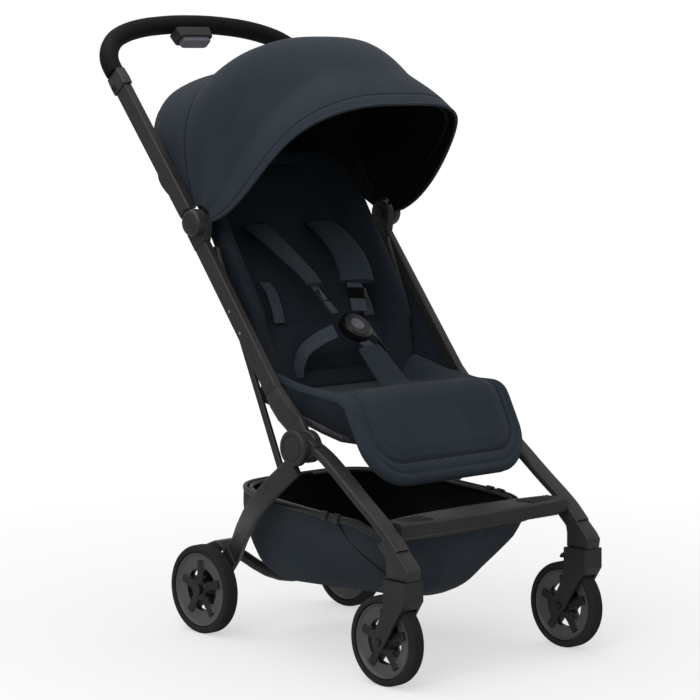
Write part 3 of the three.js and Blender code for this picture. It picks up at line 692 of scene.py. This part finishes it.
HOOP = [(152, 96, 351), (146, 108, 353), (148, 124, 356), (153, 138, 360), (160, 148, 363), (167, 180, 372), (169.5, 224, 384), (178, 240, 388), (183, 262, 400), (184, 300, 408), (180, 318, 410)]
EDGE = [(162, 90, 360), (168, 98, 376), (175, 111, 399), (176, 122, 413), (177, 140, 419.5), (176, 178, 421), (176, 222, 425), (176, 240, 428), (176, 262, 432), (176, 300, 441), (176, 316, 444)]


def skirt(s, name):
    """Cloth from the edge of the apron and the seat down to the hoop under it."""
    h, e = spline(HOOP, 5), spline(EDGE, 5)
    rows = []
    for i in range(len(h)):
        a, b = np.array(e[i]), np.array(h[i]) - np.array((0, 0, 4.5))
        row = []
        for k in range(11):
            u = k / 10
            c = a * (1 - u) + b * u
            bulge = math.sin(math.pi * u)
            c = c + np.array((2.0 * bulge + 1.2 * math.sin(i * 0.55 + u * 4) * bulge, 0, 0))
            row.append((s * float(c[0]), float(c[1]), float(c[2])))
        rows.append(row)
    v, f = loft(rows, caps=False, closed=False)
    return obj(name, v, f, "pad_dark", angle=60)


for s, q in ((1, "right"), (-1, "left")):
    o = gusset(s, f"side_gusset_{q}")
    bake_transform(o)
    o = skirt(s, f"seat_skirt_{q}")
    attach(o, "frame")

# ------------------------------------------------------------------ harness
def band(name, pts, wide, w, t, mat, e=6, n=14, spans=8):
    q = spline(pts, spans)
    m = len(pts) - 1

    def side(i):
        if not callable(wide):
            return wide
        u = min(i / spans, m)
        a, b = int(min(math.floor(u), m)), int(min(math.floor(u) + 1, m))
        f_ = u - math.floor(u)
        A, B = np.array(wide(a), float), np.array(wide(b), float)
        return tuple(A * (1 - f_) + B * f_)

    v, f = sweep(q, side, w, t, e, n)
    return obj(name, v, f, mat, angle=50)


def harness():
    for k, q in ((1, "right"), (-1, "left")):
        web = band(f"shoulder_web_{q}", [(k * 70, *bk(283, 4)), (k * 70, *bk(272, -14)), (k * 68, *bk(232, -36)), (k * 60 - 1, *bk(186, -55)), (k * 45 - 4, *bk(136, -68)), (k * 27 - 9, *bk(78, -78))],
                   lambda i: (1, 0, 0) if i < 4 else (0.94, -0.2 * k, 0.24 * k), 12.5, 1.1, "web")
        pad = band(f"shoulder_pad_{q}", [(k * 71, *bk(276, -14)), (k * 71, *bk(258, -28)), (k * 69, *bk(228, -44)), (k * 63 - 1, *bk(188, -61)), (k * 54 - 2, *bk(158, -70)), (k * 47 - 4, *bk(134, -74))],
                   lambda i: (1, -0.05 * k * i, 0.06 * k * i), 28, 5.4, "strap_pad", e=2.6, n=28)
        for o in (web, pad):
            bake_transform(o)
        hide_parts(f"shoulder_strap_{q}")
        waist = band(f"waist_web_{q}", [(k * 98, 318, 436), (k * 95, 318, 458), (k * 84 - 2, 314, 480), (k * 62 - 4, 302, 498), (k * 36 - 9.5, 286, 511)], lambda i: [(0, 1, 0.05), (0, 0.95, 0.3), (0, 0.8, 0.6), (0, 0.66, 0.75), (0, 0.62, 0.78)][i], 12.5, 1.1, "web")
        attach(waist, "frame")
        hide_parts(f"waist_strap_{q}")
        loose = band(f"loose_web_{q}", [(k * 92, *bk(176, -9)), (k * 96, *bk(150, -19)), (k * 99, *bk(122, -20)), (k * 100, *bk(98, -15))], (1, 0, 0), 11, 0.9, "web")
        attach(loose, "back")
        adj = band(f"web_slider_{q}", [(k * 41 - 5, *bk(122, -73)), (k * 35 - 7, *bk(103, -76))], (0.94, -0.2 * k, 0.24 * k), 16, 2.6, "gloss", e=3)
        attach(adj, "frame")
    cp = band("crotch_pad", [(-1, 172, 421), (-2, 192, 430), (-4, 216, 453), (-7, 236, 474), (-8, 246, 484)], (1, 0, 0), lambda i: 33 - 9 * i / 32, 5.0, "strap_pad", e=2.8, n=28)
    cw = band("crotch_web", [(-4, 226, 465), (-7, 242, 483), (-9, 256, 493)], (1, 0, 0), 12, 1.1, "web")
    for o in (cp, cw):
        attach(o, "frame")
    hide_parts("crotch_strap")


harness()

# ------------------------------------------------------------------ basket
LV = [(4, 440, 1, 1, 219.5, 252), (14, 440, 0.76, 1, 188, 223), (36, 434, 0.46, 0.96, 148, 176), (62, 418, 0.3, 0.84, 117, 128), (96, 390, 0.24, 0.66, 100, 102)]
BW = np.array([(4, 172), (60, 181), (150, 186), (250, 186), (330, 176), (400, 160), (440, 152)], float)
RISE = np.array([(4, 219.5), (58, 219.5), (100, 236), (250, 246), (440, 252)], float)


def basket_rings(off, n=120, levels=22):
    t = np.linspace(0, len(LV) - 1, levels)
    L = np.array(LV, float)
    out = []
    for lv in t:
        cols = []
        i = min(int(lv), len(LV) - 2)
        q = spline([tuple(r[:3]) for r in L], 8)
        r2 = spline([tuple(r[3:6]) for r in L], 8)
        j = lv * 8
        a, b = int(math.floor(j)), min(int(math.floor(j)) + 1, len(q) - 1)
        fr = j - math.floor(j)
        y0, y1, wf = [q[a][k] * (1 - fr) + q[b][k] * fr for k in range(3)]
        wr, z0, z1 = [r2[a][k] * (1 - fr) + r2[b][k] * fr for k in range(3)]
        for k in range(n):
            th = 2 * math.pi * (k + 0.5) / n
            ct, st = math.cos(th), math.sin(th)
            e = 4.6
            p = math.copysign(abs(ct) ** (2 / e), ct)
            s_ = math.copysign(abs(st) ** (2 / e), st)
            y = (y0 + y1) / 2 + ((y1 - y0) / 2 - off) * s_
            w = float(np.interp(y, BW[:, 0], BW[:, 1])) * (wf + (wr - wf) * (y - y0) / (y1 - y0)) - off
            lin = z0 + (z1 - z0) * (y - y0) / (y1 - y0)
            top = float(np.interp(y, RISE[:, 0], RISE[:, 1]))
            f0 = float(sstep(1 - lv))
            z = top * f0 + lin * (1 - f0)
            sag = 2.2 * math.sin(lv / (len(LV) - 1) * math.pi) * math.sin(6 * th + 0.7) + 1.3 * math.sin(11 * th + lv * 1.7)
            sag *= min(1, lv)
            cols.append((w * p + ct * sag, y + st * sag, z + (off if lv > 3.6 else 0)))
        out.append(cols)
    return out


def basket_floor(rings):
    """Closes the last ring with inner rings that dish slightly."""
    last = np.array(rings[-1])
    c = last.mean(0)
    extra = []
    for t in (0.85, 0.65, 0.42, 0.2):
        r = c + (last - c) * t
        r[:, 2] -= 3.5 * (1 - t)
        extra.append([tuple(map(float, q)) for q in r])
    return rings + extra


outer = basket_floor(basket_rings(0.0))
v, f = loft(outer, caps=False)
f.append(tuple(range((len(outer) - 1) * 120, len(outer) * 120)))
bk_out = obj("basket_cloth", v, f, "basket", angle=60)
inner = basket_floor(basket_rings(3.0))
v, f = loft(inner, caps=False)
f.append(tuple(range((len(inner) - 1) * 120, len(inner) * 120)))
bk_in = obj("basket_inside", v, f, "basket_in", angle=60)
rim_pts = basket_rings(1.5, n=96)[0]
v, f = sweep(rim_pts + rim_pts[:2], (0, 0, 1), 4.8, 3.6, 2.5, 12)
bk_rim = obj("basket_binding", v, f, "bow")


def surf_line(name, fn, count, a, b, mat):
    pts = [fn(i / (count - 1)) for i in range(count)]
    v, f = sweep(pts, (0, 0, 1), a, b, 2, 8)
    return obj(name, v, f, mat)


# the slanting seam on each side
seams = []
R_ = np.array(basket_rings(-0.5))
for s, q in ((1, "right"), (-1, "left")):
    pts = []
    for i in range(R_.shape[0]):
        yt = 150 - 46 * min(i / 21.0, 1) ** 0.8
        side_pts = [p for p in R_[i] if p[0] * s > 0]
        p = min(side_pts, key=lambda p_: abs(p_[1] - yt) + (0 if abs(p_[0]) > 26 and p_[1] > 60 and abs(p_[0]) > 0.5 * max(abs(q_[0]) for q_ in side_pts) else 999))
        # between the two nearest, for a smooth line
        a_ = sorted(side_pts, key=lambda p_: abs(p_[1] - yt) + (0 if abs(p_[0]) > 26 and p_[1] > 60 and abs(p_[0]) > 0.5 * max(abs(q_[0]) for q_ in side_pts) else 999))[:2]
        d0, d1 = abs(a_[0][1] - yt) + 1e-6, abs(a_[1][1] - yt) + 1e-6
        pts.append(tuple((np.array(a_[0]) * d1 + np.array(a_[1]) * d0) / (d0 + d1)))
    pts = pts[:20]
    sm = np.array(pts)
    for _ in range(3):
        sm[1:-1] = (sm[:-2] + 2 * sm[1:-1] + sm[2:]) / 4
    v, f = sweep([tuple(map(float, p)) for p in sm], (0, 0.6, 0.8), 1.5, 1.5, 2, 8)
    seams.append(obj(f"basket_seam_{q}", v, f, "piping"))
wire_pts = [q for q in basket_rings(10.2, n=96)[0] if q[1] > 56]
wire_pts = sorted(wire_pts, key=lambda q: math.atan2(q[0], 250 - q[1]))
v, f = sweep([(a, b, c - 1) for a, b, c in wire_pts], (0, 0, 1), 4.2, 4.2, 2, 14)
bk_wire = obj("basket_rim_wire", v, f, "bow")
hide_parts("basket_rod")
clamps = []
for s in (1, -1):
    side_rim = sorted([q for q in rim_pts if q[0] * s > 100 and 60 < q[1] < 260], key=lambda q: q[1])
    for yc in (152, 128):
        near = sorted(side_rim, key=lambda q: abs(q[1] - yc))[:2]
        a_, b_ = sorted(near, key=lambda q: q[1])
        a_, b_ = np.array(a_), np.array(b_)
        t_ = (b_ - a_) / np.linalg.norm(b_ - a_)
        m_ = (a_ + b_) / 2
        v, f = sweep([tuple(map(float, m_ + t_ * k)) for k in (-7, -6, 0, 6, 7)], (0, 0, 1), lambda i: 6.2 if i in (0, 4) else 7.4, lambda i: 6.2 if i in (0, 4) else 7.4, 2, 20)
        clamps.append(obj(f"rim_clamp_{len(clamps)}", v, f, "plastic"))
for o in [bk_out, bk_in, bk_rim, bk_wire] + seams + clamps:
    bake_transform(o)
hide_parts("basket")

# ------------------------------------------------------------------ wheels
def tyre(X, y, R, rimR, name):
    w = 13.5
    prof = [(rimR + 0.4, -10.5), (rimR + 0.6, -w + 0.8), (rimR + 2.6, -w), (R - 5, -w), (R - 3, -w + 0.7), (R - 1.4, -w + 2.2), (R - 0.4, -w + 4.4)]
    for g in (-5.4, 0.0, 5.4):
        prof += [(R, g - 1.5), (R - 1.1, g - 0.55), (R - 1.1, g + 0.55), (R, g + 1.5)]
    prof += [(R - 0.4, w - 4.4), (R - 1.4, w - 2.2), (R - 3, w - 0.7), (R - 5, w), (rimR + 2.6, w), (rimR + 0.6, w - 0.8), (rimR + 0.4, 10.5)]
    v, f = lathe(prof, X, y, R, 96)
    return obj(name, v, f, "tyre", angle=38)


def rim(X, y, R, rimR, s, name, star_scale=1.0):
    """Dished disc with five arms; s, meant as the side the face looks to, is not used."""
    rs = [6.0, 9.5, 14, 17, 18.4, 21, 24, 27, 30, 33, 36.5, 39, 42, 45, 47.6, 48.6, 50.5, rimR - 5.5, rimR - 3.5, rimR - 2.0, rimR]
    NT = 180
    obs = []

    def arm(th, r):
        a = (th - math.pi / 2) % (2 * math.pi / 5)
        a = min(a, 2 * math.pi / 5 - a)
        return r * math.sin(a)  # distance from the nearest arm's middle line

    def half(r):
        return 7.2 - 1.2 * (r - 17) / (rimR - 22) if r > 17 else 99

    def height(r, th):
        d = arm(th, r)
        dish = 10.4 - 2.2 * math.sin(math.pi * np.clip((r - 18) / (rimR - 22), 0, 1))
        h = dish
        if r < rimR - 4:
            on = (1 - float(sstep((d - half(r)) / 1.6))) * (1 - float(sstep((r - 47.4) / 1.2)))
            h = dish - 2.6 - 3.0 * float(sstep((37 - r) / 6)) + (3.4 + 3.0 * float(sstep((37 - r) / 6))) * on
        if r <= 17:
            h = 12.4
        if r >= rimR - 2.2:
            h = 11.2 if r < rimR else 9.0
        return h

    for side, mat in ((1, "rim"), (-1, "rim")):
        verts, faces, tag = [], [], []
        for i, r in enumerate(rs):
            for k in range(NT):
                th = 2 * math.pi * k / NT
                verts.append((X + side * height(r, th) * 1.0, y + r * math.cos(th), R + r * math.sin(th)))
        for i in range(len(rs) - 1):
            rm = (rs[i] + rs[i + 1]) / 2
            for k in range(NT):
                th = 2 * math.pi * (k + 0.5) / NT
                window = 17.5 < rm < 35.5 and arm(th, rm) > half(rm) + 1.2
                if window:
                    continue
                a, b = i * NT + k, i * NT + (k + 1) % NT
                faces.append((a, b, b + NT, a + NT))
                tag.append(1 if (rm < 48.2 and arm(th, rm) < half(rm) + 0.9) or rm < 17 else 0)
        me = bpy.data.meshes.new(name)
        me.from_pydata([P(*q) for q in verts], [], faces)
        me.materials.append(M["rim"])
        me.materials.append(M["star"])
        me.polygons.foreach_set("material_index", tag)
        me.update()
        ob = bpy.data.objects.new(name, me)
        COL.objects.link(ob)
        obs.append(ob)
    # window walls and the outer band
    bm = bmesh.new()
    bm.from_mesh(obs[0].data)
    n0 = len(bm.verts)
    bm.from_mesh(obs[1].data)
    bm.verts.ensure_lookup_table()
    inner_edges = [e for e in bm.edges if len(e.link_faces) == 1 and e.verts[0].index < n0 and e.verts[1].index < n0]
    for e in inner_edges:
        a, b = e.verts[0].index, e.verts[1].index
        q = [bm.verts[a], bm.verts[b], bm.verts[b + n0], bm.verts[a + n0]]
        try:
            nf = bm.faces.new(q)
            nf.material_index = 1
        except ValueError:
            pass
    for vert in [v_ for v_ in bm.verts if not v_.link_faces]:
        bm.verts.remove(vert)
    bmesh.ops.recalc_face_normals(bm, faces=bm.faces)
    me = bpy.data.meshes.new(name)
    bm.to_mesh(me)
    bm.free()
    me.materials.append(M["rim"])
    me.materials.append(M["star"])
    for o in obs:
        bpy.data.objects.remove(o)
    ob = bpy.data.objects.new(name, me)
    COL.objects.link(ob)
    smooth(ob, 30)
    return ob


for s, q in ((1, "right"), (-1, "left")):
    for kind, X, y, R, rr in (("front", 200.5, 0, 70, 59), ("rear", 163.5, 480, 74, 62.6)):
        body = f"{kind}_wheel_{q}"
        t = tyre(s * X, y, R, rr, f"{kind}_tyre_grooved_{q}")
        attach(t, body)
        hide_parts(f"{kind}_tyre_{q}")
        r = rim(s * X, y, R, rr, s, f"{kind}_wheel_disc_{q}")
        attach(r, body)
        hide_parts(f"{kind}_rim_{q}")

# ------------------------------------------------------------------ handle grip
d = (math.cos(rad(50.07)), math.sin(rad(50.07)))
nn = (-d[1], d[0])


def at(r, o=0.0):
    return (H[0] + d[0] * r + nn[0] * o, H[1] + d[1] * r + nn[1] * o)


gp = [(219, 311.3), (219.6, 322), (217.5, 338), (210, 355), (196, 372.5), (176, 388), (146, 401), (110, 410.3), (74, 415.4), (37, 418.6), (0, 419.4)]
gp = gp + [(-x, r) for x, r in gp[:-1]][::-1]
pts = spline([(x, *at(r)) for x, r in gp], 5)
v, f = sweep(pts, (0, nn[0], nn[1]), 15.7, 15.7, 2.1, 40)
grip = obj("handle_grip_skin", v, f, "foam", bevel=0)
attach(grip, "handle")
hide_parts("handle_grip")

# ------------------------------------------------------------------ front legs
def front_leg(s, name):
    p = spline([(200.5, a, b) for a, b in [(172, 349.5), (158, 346.5), (123, 327), (57.4, 279), (0, 238), (-31, 209)]], 8)
    v, f = sweep(p, (1, 0, 0), 15, 6.8, 4.5, 40)
    leg = obj(name + "_a", [(s * a, b, c) for a, b, c in v], f, "leg", bevel=0)
    prof = [(0, 199.6), (20, 199.6), (24, 200.6), (24, 212.8), (22.8, 214.6), (20.6, 215.3), (18.4, 215.3), (17.8, 214.2), (16.6, 214.2), (16.0, 215.3), (6.0, 215.6), (0, 215.6)]
    rings = []
    for k in range(64):
        t = 2 * math.pi * k / 64
        rings.append([(s * x, J[0] + max(r, 0.01) * math.cos(t), J[1] + max(r, 0.01) * math.sin(t)) for r, x in prof])
    m = len(prof)
    vv = [q for r in rings for q in r]
    ff = []
    for i in range(64):
        for k in range(m - 1):
            ff.append((i * m + k, i * m + k + 1, ((i + 1) % 64) * m + k + 1, ((i + 1) % 64) * m + k))
    hub = obj(name + "_b", vv, ff, "leg")

    def prism(poly, x0, x1, bev, tag):
        a = [(s * x0, y, z) for y, z in poly]
        b = [(s * x1, y, z) for y, z in poly]
        v_, f_ = loft([a, b])
        return obj(name + tag, v_, f_, "leg", bevel=bev, angle=35)

    web = prism([(188, 370.3), (166, 363), (150, 354), (152, 338), (176, 326), (188, 323.7)], 199.8, 215.1, 1.5, "_c")
    foot = prism([(-57.5, 168.6), (-60, 184), (-52, 194), (-12, 231), (8, 218), (-10, 202), (-12.5, 190), (-12.5, 168.6)], 185.6, 215.4, 2.2, "_d")
    o = joined(name, [leg, hub, web, foot])
    smooth(o, 38)
    return o


both(front_leg, "front_leg_skin", "front_legs", ["front_leg"])


def rear_leg(s, name):
    """Flat bar that drops from the knee and draws in to the inner side of the wheel."""
    st = spline([(a, x, 0) for a, x in [(-14, 221.6), (30, 221.6), (60, 220.2), (100, 215), (140, 205), (180, 190), (220, 173), (250, 158.5), (276, 146), (290, 142.2)]], 5)
    rings = [ring((s * x, 197 + 0.8 * a, 311.5 - 0.6 * a), (1, 0, 0), (0, 0.6, 0.8), 5.4, 17.2, 5, 40) for a, x, _ in st]
    v_, f_ = loft(rings)
    bar = obj(name + "_a", v_, f_, "leg")

    def turned(y, z, prof, tag):
        rr = [[(s * x, y + max(r, 0.02) * math.cos(2 * math.pi * k / 64), z + max(r, 0.02) * math.sin(2 * math.pi * k / 64)) for k in range(64)] for r, x in prof]
        v2, f2 = loft(rr)
        return obj(name + tag, v2, f2, "leg")

    hub = turned(J[0], J[1], [(0, 216.2), (28.6, 216.2), (29, 216.6), (29, 224.5), (28.5, 226.3), (27.3, 227.6), (25, 228.3), (21.2, 228.4), (20.6, 227.3), (19.2, 227.3), (18.6, 228.4), (8, 228.6), (0, 228.6)], "_b")
    pin = turned(246, 282, [(0, 186), (4, 186), (4, 216.4), (9.5, 216.4), (9.5, 225), (8.6, 226), (0, 226)], "_c")
    o = joined(name, [bar, hub, pin])
    smooth(o, 38)
    return o


both(rear_leg, "rear_leg_skin", "rear_legs", ["rear_leg"])

# ------------------------------------------------------------------ small trim
def knob(x0, y, z, prof, mat, name, s):
    """A turned piece whose axis is across the stroller; prof is (radius, distance out)."""
    rings = []
    for r, x in prof:
        rings.append([(s * (x0 + x), y + max(r, 0.02) * math.cos(2 * math.pi * k / 48), z + max(r, 0.02) * math.sin(2 * math.pi * k / 48)) for k in range(48)])
    v_, f_ = loft(rings)
    return obj(name, v_, f_, mat, angle=38)


def slab(x0, x1, y0, y1, z0, z1, mat, name, bev):
    a = [(x0, y0, z0), (x1, y0, z0), (x1, y1, z0), (x0, y1, z0)]
    b = [(x, y, z1) for x, y, z in a]
    v_, f_ = loft([a, b])
    return obj(name, v_, f_, mat, bevel=bev, angle=35)


for s, q in ((1, "right"), (-1, "left")):
    o = knob(227.2, H[0], H[1], [(14.6, -0.2), (14.4, 0.6), (13.6, 0.9), (12.8, 0.5), (12.2, -0.1), (9, 0.05), (4, 0.3), (0, 0.35)], "plastic", f"hinge_badge_{q}", s)
    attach(o, "handle")
    o = knob(229.0, *at(287, -9), [(5.6, -0.3), (5.6, 1.0), (4.9, 1.6), (3.0, 1.7), (2.8, 0.7), (0, 0.7)], "gloss", f"collar_screw_{q}", s)
    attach(o, "handle")
    o = joined(f"footrest_ribs_{q}", [slab(s * (112 + 7.2 * i) - 1.4, s * (112 + 7.2 * i) + 1.4, -8.5, 26 + 3 * (1 - i / 9), 246.4, 248.9, "plastic", f"rib{i}", 0.7) for i in range(10)])
    smooth(o, 38)
    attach(o, "front_legs")
    tube_out = max(abs((frame["nodes"][f"lower_tube_{q}"].matrix_world @ Vector(c))[0]) for c in frame["nodes"][f"lower_tube_{q}"].bound_box) * 1000
    riv = [knob(tube_out, tube_y(z) + 5, z, [(2.6, -0.4), (2.5, 0.5), (1.6, 1.0), (0, 1.1)], "steel", f"riv{z}", s) for z in (548, 515)]
    o = joined(f"tube_rivets_{q}", riv)
    smooth(o, 38)
    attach(o, "frame")

# ------------------------------------------------------------------ carried-over CAD nodes
paint = {
    "lower_tube": "frame", "hinge_inner": "plastic", "upper_pivot": "bow", "knee_cover": "cap", "main_pivot": "bow",
    "upper_tube": "frame", "hinge_outer": "cap", "collar": "cap", "link_bar": "frame", "caster_fork": "plastic", "front_axle": "gloss",
    "swivel_lock": "plastic", "rear_leg": "leg", "axle_carrier": "plastic", "fold_housing": "plastic", "fold_trigger": "button",
    "footrest_bar": "plastic", "rear_cross_tube": "frame", "brake_pedal": "cap", "canopy_bow": "lining", "seat_hoop": "frame",
    "buckle": "gloss", "buckle_button": "button", "basket_rod": "bow",
}
for n, o in frame["nodes"].items():
    if o.hide_render:
        continue
    key = n.replace("_right", "").replace("_left", "")
    m = M[paint.get(key, "plastic")]
    if not o.data.materials:
        o.data.materials.append(m)
    for sl in o.material_slots:
        sl.material = m
    wd = o.modifiers.new("w", "WELD")
    wd.merge_threshold = 0.00005
    bv = o.modifiers.new("b", "BEVEL")
    bv.width = 0.0012
    bv.segments = 2
    bv.limit_method = "ANGLE"
    bv.angle_limit = rad(32)
    bv.harden_normals = False

# rods of the basket go with the cloth
# ------------------------------------------------------------------ floor, light, camera
def make_stage():
    me = bpy.data.meshes.new("floor")
    s = 9.0
    me.from_pydata([(-s, -s, 0), (s, -s, 0), (s, s, 0), (-s, s, 0)], [], [(0, 1, 2, 3)])
    fl = bpy.data.objects.new("floor", me)
    COL.objects.link(fl)
    m = bpy.data.materials.new("floor")
    m.use_nodes = True
    nt = m.node_tree
    b = nt.nodes["Principled BSDF"]
    b.inputs["Roughness"].default_value = 0.9
    b.inputs["Specular IOR Level"].default_value = 0.1
    # the sweep turns to plain white away from the wheels, so that no horizon shows
    geo = nt.nodes.new("ShaderNodeNewGeometry")
    ln = nt.nodes.new("ShaderNodeVectorMath")
    ln.operation = "LENGTH"
    nt.links.new(geo.outputs["Position"], ln.inputs[0])
    far = ramp(nt, math_node(nt, "DIVIDE", ln.outputs["Value"], 4.0), [(0.13, (0, 0, 0)), (0.42, (1, 1, 1))])
    tone = noise(nt, nt.nodes.new("ShaderNodeTexCoord"), 3.0, 2.0)
    nt.links.new(ramp(nt, tone.outputs["Fac"], [(0.3, (0.885, 0.885, 0.885)), (0.7, (0.9, 0.9, 0.9))]).outputs["Color"], b.inputs["Base Color"])
    em = nt.nodes.new("ShaderNodeEmission")
    em.inputs["Color"].default_value = (1, 1, 1, 1)
    em.inputs["Strength"].default_value = 1.02
    dim = nt.nodes.new("ShaderNodeEmission")
    dim.inputs["Color"].default_value = (1, 1, 1, 1)
    dim.inputs["Strength"].default_value = 0.35
    lp = nt.nodes.new("ShaderNodeLightPath")
    ms0 = nt.nodes.new("ShaderNodeMixShader")
    nt.links.new(lp.outputs["Is Camera Ray"], ms0.inputs[0])
    nt.links.new(dim.outputs[0], ms0.inputs[1])
    nt.links.new(em.outputs[0], ms0.inputs[2])
    ms = nt.nodes.new("ShaderNodeMixShader")
    nt.links.new(far.outputs["Color"], ms.inputs[0])
    soft = nt.nodes.new("ShaderNodeMixShader")
    soft.inputs[0].default_value = 0.54
    nt.links.new(b.outputs[0], soft.inputs[1])
    nt.links.new(ms0.outputs[0], soft.inputs[2])
    nt.links.new(soft.outputs[0], ms.inputs[1])
    nt.links.new(ms0.outputs[0], ms.inputs[2])
    nt.links.new(ms.outputs[0], nt.nodes["Material Output"].inputs["Surface"])
    me.materials.append(m)
    w = bpy.data.worlds.new("studio")
    bpy.context.scene.world = w
    w.use_nodes = True
    wn = w.node_tree
    bg = wn.nodes["Background"]
    bg.inputs[0].default_value = (1, 1, 1, 1)
    lpw = wn.nodes.new("ShaderNodeLightPath")
    st = wn.nodes.new("ShaderNodeMapRange")
    st.inputs["To Min"].default_value = 0.50
    st.inputs["To Max"].default_value = 1.02
    wn.links.new(lpw.outputs["Is Camera Ray"], st.inputs["Value"])
    wn.links.new(st.outputs["Result"], bg.inputs[1])

    def area(name, loc, target, size, power):
        li = bpy.data.lights.new(name, "AREA")
        li.shape = "RECTANGLE"
        li.size, li.size_y = size
        li.energy = power
        o = bpy.data.objects.new(name, li)
        COL.objects.link(o)
        o.location = loc
        o.rotation_euler = (Vector(target) - Vector(loc)).to_track_quat("-Z", "Y").to_euler()

    area("key", (-3.0, -1.8, 2.9), (0, 0, 0.5), (2.4, 2.4), 60)
    area("fill", (3.0, -1.0, 2.2), (0, 0, 0.5), (2.0, 2.4), 4)
    area("top", (-0.3, 0.7, 3.4), (0, 0, 0.6), (2.8, 2.8), 48)
    cam = bpy.data.cameras.new("cam")
    cam.lens = 136.1
    cam.sensor_width = 36
    co = bpy.data.objects.new("cam", cam)
    COL.objects.link(co)
    co.location = (-2.9254, -2.8629 - CY / 1000, 0.9449)
    az, pt = rad(-42.765), rad(6.221)
    fwd = Vector((-math.sin(az) * math.cos(pt), math.cos(az) * math.cos(pt), -math.sin(pt)))
    co.rotation_euler = fwd.to_track_quat("-Z", "Y").to_euler()
    bpy.context.scene.camera = co
    bpy.context.scene.view_settings.view_transform = "Standard"


make_stage()
